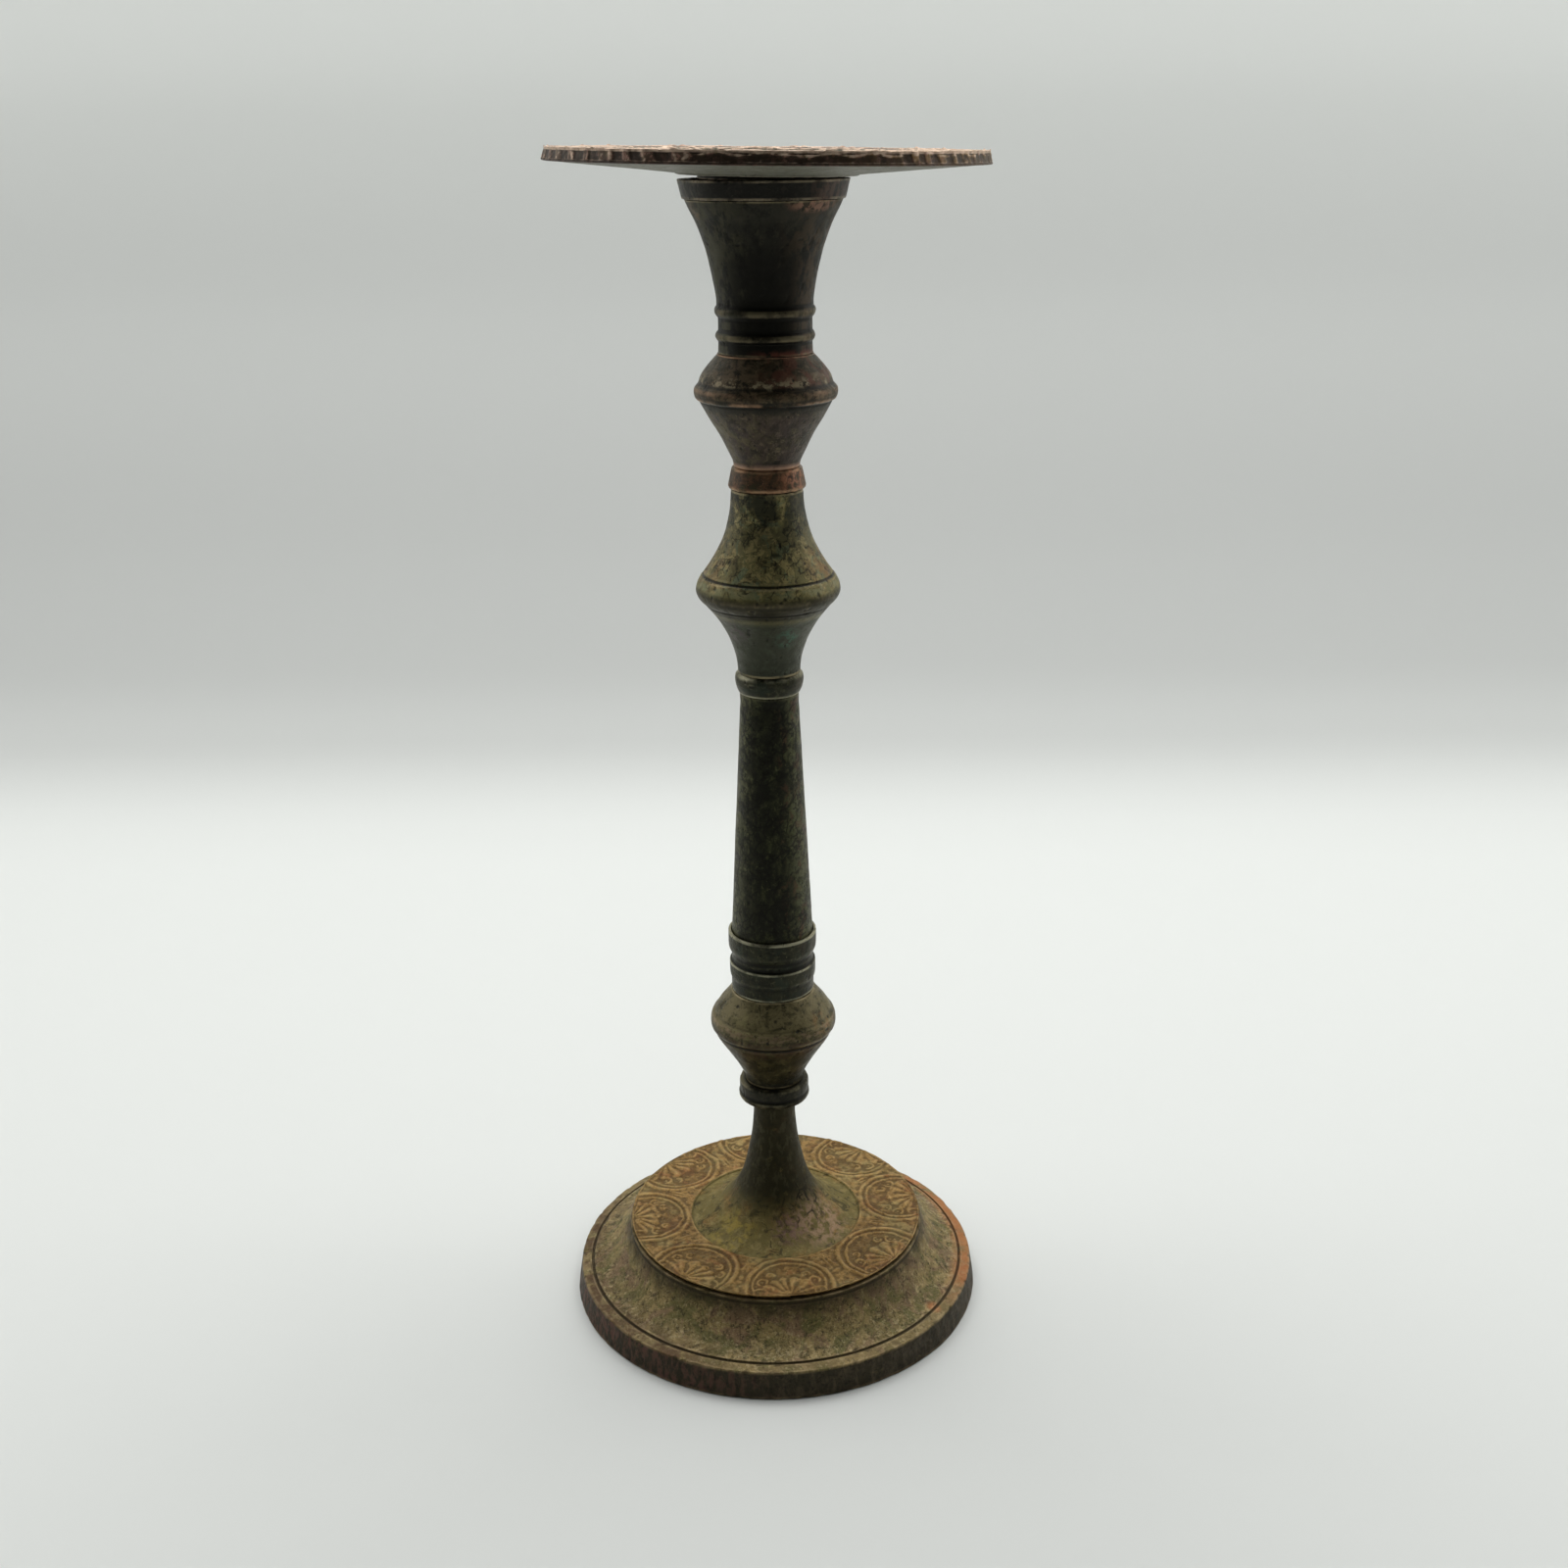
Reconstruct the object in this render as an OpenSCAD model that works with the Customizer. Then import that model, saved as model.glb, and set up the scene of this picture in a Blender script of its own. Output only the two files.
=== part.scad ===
// Altar candlestick: a stack of turned and cast pieces clamped on a tie rod,
// with a loose drip pan and a lift-out candle socket. Millimetres, +Z up.
// Origin: centre of the foot, on the surface it stands on.

/* [Candle socket] */
// Radius of the bore that holds the candle
candle_r = 11.3; // [10.5:0.1:11.4]
// Depth of the candle bore
candle_depth = 40; // [25:1:40]
// Wall of the socket tube
socket_wall = 0.7; // [0.5:0.1:0.8]
// Radius of the socket's flange
flange_r = 18.5; // [16.5:0.5:22]

/* [Drip pan] */
// Outer radius of the pan at the lower edge of its rim
pan_r = 68; // [60:1:72]
// Height of the pan's rim
rim_h = 4.4; // [4:0.1:5.4]
// Sideways offset of the loose pan on the cup
pan_shift = 1.2; // [0:0.1:1.4]
// Lean of the loose pan in degrees, down on the +X side
pan_lean = 1; // [0:0.1:1]
// Number of medallions round the pan
pan_medallions = 10; // [6:1:12]

/* [Shaft] */
// Visible length of the tapered shaft
shaft_len = 86.3; // [60:1:140]
// Shaft radius at its foot
shaft_low_r = 14.2; // [13:0.1:14.3]
// Shaft radius at its top
shaft_top_r = 9.9; // [9:0.1:10]

/* [Foot] */
// Radius of the foot at the table
foot_r = 73.9; // [71:0.1:84]
// Height of the foot's upright rim
foot_rim_h = 9.5; // [7:0.1:9.7]
// Radius of the medallion disc
disc_r = 53.1; // [51:0.1:53.2]
// Number of medallions round the disc
disc_medallions = 8; // [6:1:9]
// Height of the medallion ridges above their field
ridge_h = 0.6; // [0.3:0.1:0.8]

/* [Tie rod] */
// Radius of the tie rod
rod_r = 4; // [3:0.1:4.2]
// Width of the nuts across their flats
nut_flats = 13; // [10:0.5:14]

/* [Hidden] */
$fn = 96;

// Clear radius round the tie rod
bore_r = rod_r + 0.5;
// Gap left between a locating spigot and its recess
ease = 0.1;

// Heights of the joints between the stacked pieces
z_seat = 25.6;
z_field = 26.9;
z_lower_collar = 75.5;
z_lower_knop = 83;
z_ferrule = 119.3;
z_shaft = 141.7;
z_neck_ring = z_shaft + shaft_len;
z_bell = z_neck_ring + 7;
z_upper_collar = z_bell + 61;
z_upper_knop = z_upper_collar + 7.1;
z_cup = z_upper_knop + 35.3;
z_band = z_cup + 45.8;
z_band_top = z_band + 6;
z_pan_edge = z_band_top + 4.15;

// Gap where the loose pan rests on the cup's mouth
rest_gap = 0.15;

// Clamping parts inside the foot, from the top down
z_plate = 20.6;
plate_h = 2.5;
lock_h = 2;
nut_h = 6.5;
rod_low = 7.5;

// Floor of the cup, where the upper nut pulls down
z_cup_floor = z_cup + 5.6;
washer_h = 1.6;
rod_high = z_cup_floor + washer_h + nut_h + 1.2;

// Socket: underside of its flange and its floor
z_flange = z_band_top + 6.2;
flange_h = 1;
socket_floor = 1.2;
z_socket = z_flange + flange_h - candle_depth - socket_floor;

// Quadratic curve from a to c, pulled towards b
function bend(a, b, c, n) =
    [for (i = [0:n]) let (t = i / n, s = 1 - t) s * s * a + 2 * s * t * b + t * t * c];

// Point on a smooth curve between b and c, with a and d as its neighbours
function between(a, b, c, d, t) =
    0.5 * (2 * b + (c - a) * t + (2 * a - 5 * b + 4 * c - d) * t * t
    + (3 * b - a - 3 * c + d) * t * t * t);

// Smooth curve through a list of points, n steps to each gap
function through(p, n) =
    let (m = len(p) - 1)
    concat([for (i = [0:m - 1], j = [0:n - 1])
        between(p[max(i - 1, 0)], p[i], p[i + 1], p[min(i + 2, m)], j / n)], [p[m]]);

// Points lifted by z
function lifted(p, z) = [for (q = p) [q[0], q[1] + z]];

// Turned solid from a closed list of [radius, height] points
module turned(points) {
    rotate_extrude() polygon(points);
}

// Ring with a raised, bevelled section, lying at height 0
module ridge_ring(r, half_w, top) {
    rotate_extrude()
        polygon([[r - half_w, -0.4], [r + half_w, -0.4], [r + half_w, top * 0.4],
                 [r + half_w * 0.3, top], [r - half_w * 0.3, top], [r - half_w, top * 0.4]]);
}

// One medallion centred on the origin, its shell opening towards -X
module medallion(r, top) {
    ridge_ring(r - 0.9, 0.8, top);
    ridge_ring(r - 3.6, 0.6, top * 0.7);
    ridge_ring(r * 0.58, 0.7, top);
    for (i = [0:6])
        rotate([0, 0, 180 + (i - 3) * 22])
            translate([2.2, -0.45, -0.4])
                cube([r * 0.58 - 3.4, 0.9, 0.4 + top * 0.8]);
}

// Ring of medallions whose circles run off the outer edge
module medallion_ring(count, centre_r, r, edge_r, turn, top) {
    intersection() {
        for (i = [0:count - 1])
            rotate([0, 0, turn + i * 360 / count])
                translate([centre_r, 0, 0])
                    medallion(r, top);
        translate([0, 0, -0.4])
            cylinder(h = 0.8 + top, r = edge_r);
    }
}

module foot() {
    cove_out = bend([53.7, 24.7], [57, 13.4], [foot_r - 6.1, 11], 12);
    cove_in = bend([foot_r - 9.4, 7], [52.5, 9], [49.8, z_plate], 8);
    color([0.36, 0.34, 0.25])
        turned(concat(
            [[foot_r - 7.4, 0], [foot_r - 0.3, 0], [foot_r, 0.3],
             [foot_r - 1.5, foot_rim_h], [foot_r - 1.9, foot_rim_h + 0.5],
             [foot_r - 5.4, 10.7], [foot_r - 5.7, 10.1]],
            [for (i = [12:-1:0]) cove_out[i]],
            [[54, 25], [53.9, 25.4], [53.5, z_seat], [10, z_seat], [10, z_plate]],
            [for (i = [8:-1:0]) cove_in[i]],
            [[foot_r - 7.4, 5.2]]));
}

module medallion_disc() {
    flare = through([[30.6, 26.3], [26.5, 27.6], [21.5, 30.7], [17.2, 34.8], [14, 39.5],
                     [11.8, 44.6], [10.1, 51], [8.65, 58.5], [7.85, 65], [7.55, 71],
                     [7.5, z_lower_collar]], 4);
    color([0.5, 0.42, 0.28]) {
        turned(concat(
            [[bore_r, 22.6], [10 - ease, 22.6], [10 - ease, z_seat], [disc_r - 0.8, z_seat],
             [disc_r - 0.8, 26.1], [disc_r, 26.4], [disc_r, 27.1], [disc_r - 0.2, z_field],
             [31.2, z_field]],
            flare,
            [[6.2, z_lower_collar], [6.2, z_lower_collar + 1.5], [bore_r, z_lower_collar + 1.5]]));
        translate([0, 0, z_field])
            medallion_ring(disc_medallions, disc_r - 6.3, 15.9, disc_r - 0.3, 5.5, ridge_h);
    }
}

module lower_collar() {
    color([0.2, 0.22, 0.18])
        turned(lifted([[6.2 + ease, 0], [11.6, 0], [12.3, 0.4], [12.7, 1.2], [12.8, 2], [12.6, 2.7],
                [12.35, 3], [12.5, 4.6], [12.5, 6.4], [12.35, 7.2], [12, 7.5], [8, 7.5],
                [8, 9], [bore_r, 9], [bore_r, 1.6], [6.2 + ease, 1.6]], z_lower_collar));
}

module lower_knop() {
    cone = through([[10.3, 0], [10.5, 1.8], [11.5, 4.2], [13.9, 8.6], [17.1, 13.7], [20.3, 18.7],
                    [20.8, 20.6]], 3);
    bead = through([[21.1, 21], [22, 21.9], [22.3, 23.5], [22.1, 25.5], [21.5, 26.9]], 3);
    shoulder = through([[20.9, 27.5], [19.1, 30.4], [16.5, 33.6], [14.8, 36], [14.5, 36.3]], 3);
    color([0.35, 0.35, 0.22])
        turned(lifted(concat(cone, bead, shoulder,
            [[10, 36.3], [10, 37.8], [bore_r, 37.8], [bore_r, 1.6], [8 + ease, 1.6],
             [8 + ease, 0]]), z_lower_knop));
}

module shaft_ferrule() {
    color([0.18, 0.24, 0.21])
        turned(lifted([[10 + ease, 0], [14.5, 0], [14.5, 4.4], [14.8, 5.2], [15.05, 6.2],
            [15.1, 10.8], [14.9, 11.1], [14.3, 11.3], [14.2, 12.6], [14.2, 13.8], [14.7, 14.8],
            [15.2, 15.8], [15.4, 17.2], [15.45, 22.1], [15.2, 22.4], [shaft_low_r + 0.15, 22.4],
            [shaft_low_r + 0.15, 19.4], [bore_r, 19.4], [bore_r, 1.6], [10 + ease, 1.6]],
            z_ferrule));
}

module shaft() {
    color([0.17, 0.19, 0.13])
        turned([[shaft_low_r - 4, z_shaft - 3], [shaft_low_r, z_shaft - 3],
                [shaft_low_r, z_shaft], [shaft_top_r, z_neck_ring - 3],
                [shaft_top_r + 0.15, z_neck_ring], [7.2, z_neck_ring], [7.2, z_neck_ring + 1.5],
                [bore_r + 1, z_neck_ring + 1.5], [bore_r + 1, z_neck_ring - 6]]);
}

module neck_ring() {
    bulge = through([[10.1, 0], [10.5, 0.7], [11, 1.9], [11.45, 3.8], [11.5, 5.2], [11.25, 6.4],
                     [10.7, 7]], 3);
    color([0.17, 0.22, 0.2])
        turned(lifted(concat(bulge,
            [[8, 7], [8, 8.5], [bore_r, 8.5], [bore_r, 1.6], [7.2 + ease, 1.6],
             [7.2 + ease, 0]]), z_neck_ring));
}

module bell_knop() {
    under = through([[10.45, 0], [10.6, 2.6], [11.1, 5.8], [12.35, 9.9], [14.05, 13.9],
                     [17.1, 18.9], [20.6, 23.2]], 3);
    over = through([[21.3, 24], [22.7, 25.4], [23.6, 27.2], [23.7, 28.6], [23.2, 30.6],
                    [22, 32.9]], 3);
    slope = through([[21.1, 34], [19.2, 36.6], [16.6, 41], [14.5, 45.4], [13, 50.5],
                     [12.1, 55.4], [11.7, 61]], 3);
    color([0.33, 0.35, 0.24])
        turned(lifted(concat(under, [[20.7, 23.7]], over, [[21.3, 33.1]], slope,
            [[8.5, 61], [8.5, 62.5], [bore_r, 62.5], [bore_r, 1.6], [8 + ease, 1.6],
             [8 + ease, 0]]), z_bell));
}

module upper_collar() {
    color([0.4, 0.3, 0.22])
        turned(lifted([[8.5 + ease, 0], [11.9, 0], [12.45, 0.4], [12.65, 1.1], [12.45, 2],
            [11.45, 6.7], [11.1, 7.1], [8, 7.1], [8, 8.6], [bore_r, 8.6], [bore_r, 1.6],
            [8.5 + ease, 1.6]], z_upper_collar));
}

module upper_knop() {
    cone = through([[10.7, 0], [11, 1.9], [12.3, 4.7], [15.1, 10.3], [18.5, 15.8],
                    [20.9, 20.2]], 3);
    bead = through([[21.1, 20.9], [22.3, 21.5], [22.85, 23.2], [22.7, 24.8], [21.9, 25.8]], 3);
    shoulder = through([[21.4, 26.4], [20.6, 28.6], [19.2, 30.7], [17.2, 33], [15.3, 35.1],
                        [15.1, 35.3]], 3);
    color([0.3, 0.28, 0.22])
        turned(lifted(concat(cone, bead, shoulder,
            [[10, 35.3], [10, 36.8], [bore_r, 36.8], [bore_r, 1.6], [8 + ease, 1.6],
             [8 + ease, 0]]), z_upper_knop));
}

module candle_cup() {
    seat_r = candle_r + socket_wall + 0.4;
    bead_low = bend([14.8, 3.7], [16.7, 5.3], [14.8, 7.1], 6);
    bead_top = bend([14.8, 10.9], [16.9, 12.7], [15.2, 14.6], 6);
    flare = through([[15.2, 15.8], [15.4, 18], [16.6, 24.6], [18.3, 31.5], [20.8, 38.4],
                     [23.2, 43.2], [24.4, 45.8]], 4);
    mouth = through([[20.5, 50.6], [17.6, 45], [15.2, 39], [13.6, 34], [seat_r, 29]], 3);
    color([0.2, 0.21, 0.18])
        turned(lifted(concat([[14.95, 0]], bead_low, bead_top, flare,
            [[22.9, 45.8], [22.9, 50.6]], mouth,
            [[seat_r, 17.2], [10.2, 16.2], [10.2, 5.6], [bore_r, 5.6], [bore_r, 1.6],
             [10 + ease, 1.6], [10 + ease, 0]]), z_cup));
}

module cup_band() {
    color([0.1, 0.1, 0.09])
        turned([[22.95, z_band], [24.9, z_band], [25.1, z_band + 0.3], [26.45, z_band_top - 0.3],
                [26.2, z_band_top], [22.95, z_band_top]]);
}

module drip_pan() {
    rim_top_r = pan_r - 1.1;
    field_z = z_pan_edge + rim_h - 0.9;
    hub_z = z_band_top + 5;
    hole_r = candle_r + socket_wall + 2.4;
    // Boss under the pan that sits loosely inside the band.
    boss_r = 21.4;
    boss_z = z_band_top + rest_gap - 1.2;
    // The pan leans about the point of the cup's mouth it rests on, at +X.
    pivot = [26.4, 0, z_band_top + rest_gap];
    color([0.45, 0.42, 0.34])
        translate([pan_shift, 0, 0])
            translate(pivot) rotate([0, pan_lean, 0]) translate(-pivot) {
                turned([[hole_r, z_band_top - 3], [hole_r + 2.8, z_band_top - 3],
                        [hole_r + 2.8, boss_z], [boss_r, boss_z],
                        [boss_r, z_band_top + rest_gap], [27.4, z_band_top + rest_gap],
                        [28.4, z_band_top + 0.65], [pan_r - 0.3, z_pan_edge - 0.1],
                        [pan_r, z_pan_edge + 0.2], [rim_top_r, z_pan_edge + rim_h - 0.4],
                        [rim_top_r - 0.5, field_z], [pan_r - 23, field_z],
                        [pan_r - 24.2, hub_z + 0.6], [22, hub_z], [hole_r, hub_z]]);
                translate([0, 0, field_z])
                    medallion_ring(pan_medallions, pan_r - 8, 16, rim_top_r - 0.6, -88, 0.7);
            }
}

module candle_socket() {
    out_r = candle_r + socket_wall;
    top = z_flange + flange_h;
    color([0.55, 0.45, 0.25])
        turned([[0, z_socket], [out_r - 0.4, z_socket], [out_r, z_socket + 0.4],
                [out_r, z_flange], [flange_r, z_flange], [flange_r, top - 0.3],
                [flange_r - 0.3, top], [candle_r, top], [candle_r, z_socket + socket_floor],
                [0, z_socket + socket_floor]]);
}

module tie_rod() {
    color([0.3, 0.29, 0.28])
        turned([[0, rod_low], [rod_r - 0.7, rod_low], [rod_r, rod_low + 0.7],
                [rod_r, rod_high - 0.7], [rod_r - 0.7, rod_high], [0, rod_high]]);
}

// Hexagonal nut standing on height 0
module nut() {
    difference() {
        linear_extrude(nut_h)
            circle(r = nut_flats / sqrt(3), $fn = 6);
        translate([0, 0, -1])
            cylinder(h = nut_h + 2, r = rod_r + 0.02);
    }
}

module top_nut() {
    color([0.32, 0.3, 0.27])
        translate([0, 0, z_cup_floor + washer_h])
            nut();
}

module top_washer() {
    color([0.38, 0.36, 0.33])
        turned(lifted([[rod_r + 0.3, 0], [8.8, 0], [8.8, washer_h], [rod_r + 0.3, washer_h]],
                      z_cup_floor));
}

module clamp_plate() {
    z = z_plate - plate_h;
    color([0.35, 0.33, 0.3])
        turned(lifted([[rod_r + 0.3, 0], [21.5, 0], [22, 0.5], [22, plate_h],
                       [rod_r + 0.3, plate_h]], z));
}

module lock_washer() {
    color([0.3, 0.3, 0.3])
        translate([0, 0, z_plate - plate_h - lock_h])
            difference() {
                turned([[rod_r + 0.3, 0], [7, 0], [7, lock_h], [rod_r + 0.3, lock_h]]);
                translate([5.5, 0, lock_h / 2])
                    rotate([30, 0, 0])
                        cube([6, 0.8, 8], center = true);
            }
}

module base_nut() {
    color([0.32, 0.3, 0.27])
        translate([0, 0, z_plate - plate_h - lock_h - nut_h])
            nut();
}

foot();
medallion_disc();
lower_collar();
lower_knop();
shaft_ferrule();
shaft();
neck_ring();
bell_knop();
upper_collar();
upper_knop();
candle_cup();
cup_band();
drip_pan();
candle_socket();
tie_rod();
top_nut();
top_washer();
clamp_plate();
lock_washer();
base_nut();
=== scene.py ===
import math

import bpy
import numpy as np
from mathutils import Matrix, Vector


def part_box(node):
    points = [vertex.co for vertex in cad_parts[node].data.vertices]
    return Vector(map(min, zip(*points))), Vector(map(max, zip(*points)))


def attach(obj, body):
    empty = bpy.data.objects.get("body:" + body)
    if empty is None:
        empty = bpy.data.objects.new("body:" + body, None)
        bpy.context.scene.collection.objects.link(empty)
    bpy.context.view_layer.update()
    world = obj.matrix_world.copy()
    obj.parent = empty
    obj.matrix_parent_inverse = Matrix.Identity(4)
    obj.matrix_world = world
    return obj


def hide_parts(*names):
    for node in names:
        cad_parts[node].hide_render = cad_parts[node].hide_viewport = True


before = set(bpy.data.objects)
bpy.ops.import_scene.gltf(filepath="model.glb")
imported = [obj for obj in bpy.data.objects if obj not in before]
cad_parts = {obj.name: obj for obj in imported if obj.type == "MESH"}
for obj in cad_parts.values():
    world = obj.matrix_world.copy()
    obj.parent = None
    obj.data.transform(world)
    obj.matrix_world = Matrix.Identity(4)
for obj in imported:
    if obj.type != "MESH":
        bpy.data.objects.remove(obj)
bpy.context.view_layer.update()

# Lengths are millimetres in the code and metres in Blender.
MM = 0.001

# The loose pan: its sideways offset and lean, about the point of the cup's mouth it rests on.
PAN_SHIFT = 1.2
PAN_LEAN = math.radians(1.0)
PAN_REST_R = 26.4
PAN_REST_GAP = 0.15

# Angles of the disc's medallions and the pan's, degrees from +X. They were cast by hand, so not quite even.
DISC_TURNS = [9.0, 50.5, 98.0, 143.0, 185.5, 232.5, 276.0, 323.0]
PAN_TURNS = [-88.0 + 36.0 * i for i in range(10)]

# Points round the finest rings of the disc and the pan, which carry the relief, and the mm between those rings.
DISC_COUNT = 720
PAN_COUNT = 864
RELIEF_STEP = 0.46

# A ring with more points than this gets dents and wear. The others are hidden inside.
HIDDEN_COUNT = 100

# An outline that turns by more degrees than this at a point has a corner there.
SHARP_TURN = 24

# Height of the marks the lathe left, and the pitch of the tie rod's thread.
TOOL_LINES = 0.012
THREAD_PITCH = 1.25

# What full wear takes off the roughness and adds to the metallic value.
WORN_GLOSS = 0.08
WORN_METAL = 0.3


def top_of(node):
    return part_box(node)[1].z / MM


def foot_of(node):
    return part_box(node)[0].z / MM


# ---------------------------------------------------------------- noise

def noise(p, size, seed):
    """Smooth random values from -1 to 1 at points p, with size mm between independent values."""
    q = p / size + 13.7 * seed + 0.5
    cell = np.floor(q).astype(np.int64)
    f = q - cell
    f = f * f * f * (f * (f * 6 - 15) + 10)
    total = np.zeros(len(p))
    for corner in np.ndindex(2, 2, 2):
        x, y, z = (cell[:, k] + corner[k] for k in range(3))
        h = (x * 73856093) ^ (y * 19349663) ^ (z * 83492791)
        h = (h + seed * 2654435761) & 0xFFFFFFFF
        h = ((h ^ (h >> 15)) * 2246822519) & 0xFFFFFFFF
        h = ((h ^ (h >> 13)) * 3266489917) & 0xFFFFFFFF
        value = (h ^ (h >> 16)) / 2147483648.0 - 1.0
        wx, wy, wz = (f[:, k] if corner[k] else 1 - f[:, k] for k in range(3))
        total += value * (wx * wy * wz)
    return total


def smooth(x, low, high):
    """0 below low, 1 above high, smooth between."""
    t = np.clip((x - low) / (high - low), 0, 1)
    return t * t * (3 - 2 * t)


def bump(x, half):
    """A rounded ridge of height 1 at x = 0, gone at half a width either side."""
    t = np.clip(1 - (x / half) ** 2, 0, 1)
    return t * t


# ---------------------------------------------------------------- outlines of the CAD nodes

def pan_level(co, back=False):
    """Takes points on the leaning pan to the pan set level on the axis, or back again."""
    pivot = np.array([PAN_REST_R, 0, top_of("cup_band") + PAN_REST_GAP])
    a = PAN_LEAN if back else -PAN_LEAN
    turn = np.array([[math.cos(a), 0, math.sin(a)], [0, 1, 0], [-math.sin(a), 0, math.cos(a)]])
    shift = np.array([PAN_SHIFT, 0, 0])
    if back:
        return (co - pivot) @ turn.T + pivot + shift
    return (co - shift - pivot) @ turn.T + pivot


def cut_mesh(co, triangles, turn):
    """The half-plane at turn degrees cuts a mesh in short lines, each a pair of [radius, height] points."""
    a = math.radians(turn + 0.137)
    across = co[:, 1] * math.cos(a) - co[:, 0] * math.sin(a)
    plane = np.stack([co[:, 0] * math.cos(a) + co[:, 1] * math.sin(a), co[:, 2]], 1)
    above = across[triangles] > 0
    cuts = []
    for t in triangles[above.any(1) & ~above.all(1)]:
        ends = []
        for i, j in ((t[0], t[1]), (t[1], t[2]), (t[2], t[0])):
            i, j = min(i, j), max(i, j)
            if (across[i] > 0) != (across[j] > 0):
                s = across[i] / (across[i] - across[j])
                ends.append(plane[i] + s * (plane[j] - plane[i]))
        p, q = ends
        if p[0] < 0 and q[0] < 0:
            continue
        if p[0] < 0 or q[0] < 0:
            low, high = (p, q) if p[0] < q[0] else (q, p)
            p, q = high + (low - high) * high[0] / (high[0] - low[0]), high
        if np.hypot(*(p - q)) > 1e-4:
            cuts.append((p, q))
    return cuts


def join(cuts):
    """The cuts joined end to end: their points, and whether they close into a loop clear of the axis."""
    starts = [i for i, (p, q) in enumerate(cuts) if min(p[0], q[0]) < 1e-6]
    closed = not starts
    p, q = cuts.pop(0 if closed else starts[0])
    points = [p, q] if closed or p[0] <= q[0] else [q, p]
    while cuts:
        gaps = [[np.hypot(*(end - points[-1])) for end in ends] for ends in cuts]
        nearest = int(np.argmin([min(pair) for pair in gaps]))
        if min(gaps[nearest]) > 0.02:
            break
        p, q = cuts.pop(nearest)
        points.append(q if gaps[nearest][0] < gaps[nearest][1] else p)
    return np.array(points[:-1] if closed else points), closed


def thin(points, closed):
    """Leaves out points that lie on a straight line between their neighbours."""
    keep = []
    n = len(points)
    for i in range(n):
        if not closed and i in (0, n - 1):
            keep.append(i)
            continue
        before = points[keep[-1]] if keep else points[i - 1]
        d, e = points[(i + 1) % n] - before, points[i] - before
        if abs(d[0] * e[1] - d[1] * e[0]) / max(np.hypot(*d), 1e-9) > 0.004:
            keep.append(i)
    return points[keep]


def section(node, turn=28.0, undo=None):
    """Outline of a turned CAD node, cut by the half-plane at turn: [radius, height] points, anticlockwise."""
    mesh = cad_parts[node].data
    co = np.empty(len(mesh.vertices) * 3)
    mesh.vertices.foreach_get("co", co)
    co = co.reshape(-1, 3) / MM
    if undo:
        co = undo(co)
    mesh.calc_loop_triangles()
    triangles = np.empty(len(mesh.loop_triangles) * 3, np.int32)
    mesh.loop_triangles.foreach_get("vertices", triangles)
    points = thin(*join(cut_mesh(co, triangles.reshape(-1, 3), turn)))
    r, z = points.T
    area = 0.5 * np.sum(r * np.roll(z, -1) - np.roll(r, -1) * z)
    return points[::-1] if area < 0 else points


def curve(run, want):
    """Points about want mm apart on a smooth curve through the points of run."""
    line = []
    last = len(run) - 1
    for k in range(last):
        p0, p1, p2, p3 = run[max(k - 1, 0)], run[k], run[k + 1], run[min(k + 2, last)]
        length = np.hypot(*(p2 - p1))
        parts = max(1, int(math.ceil(length / want)))
        t1 = (p2 - p0) / np.hypot(*(p2 - p0)) * length
        t2 = (p3 - p1) / np.hypot(*(p3 - p1)) * length
        for j in range(parts):
            t = j / parts
            line.append((2 * t**3 - 3 * t**2 + 1) * p1 + (t**3 - 2 * t**2 + t) * t1
                        + (-2 * t**3 + 3 * t**2) * p2 + (t**3 - t**2) * t2)
    line.append(run[-1])
    return np.array(line)


def shorten(line, off_start, off_end):
    """The line without so many mm of its start and its end."""
    s = np.concatenate([[0], np.cumsum(np.hypot(*np.diff(line, axis=0).T))])
    inside = line[(s > off_start + 0.04) & (s < s[-1] - off_end - 0.04)]
    start = np.array([np.interp(off_start, s, line[:, c]) for c in (0, 1)])
    end = np.array([np.interp(s[-1] - off_end, s, line[:, c]) for c in (0, 1)])
    return [start, *inside, end]


def bezier(tail, corner, head, t):
    return (1 - t) ** 2 * tail + 2 * t * (1 - t) * corner + t * t * head


def facing_in(r, z, nr, nz):
    """The usual test for a surface that is hidden and may be coarse: it faces the axis."""
    return nr < -0.3


def nowhere(r, z, nr, nz):
    return False


def bore(limit):
    """The test for pieces with joints inside: it faces the axis, or lies nearer to it than limit."""
    def hidden(r, z, nr, nz):
        return nr < -0.3 or r < limit
    return hidden


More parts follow.
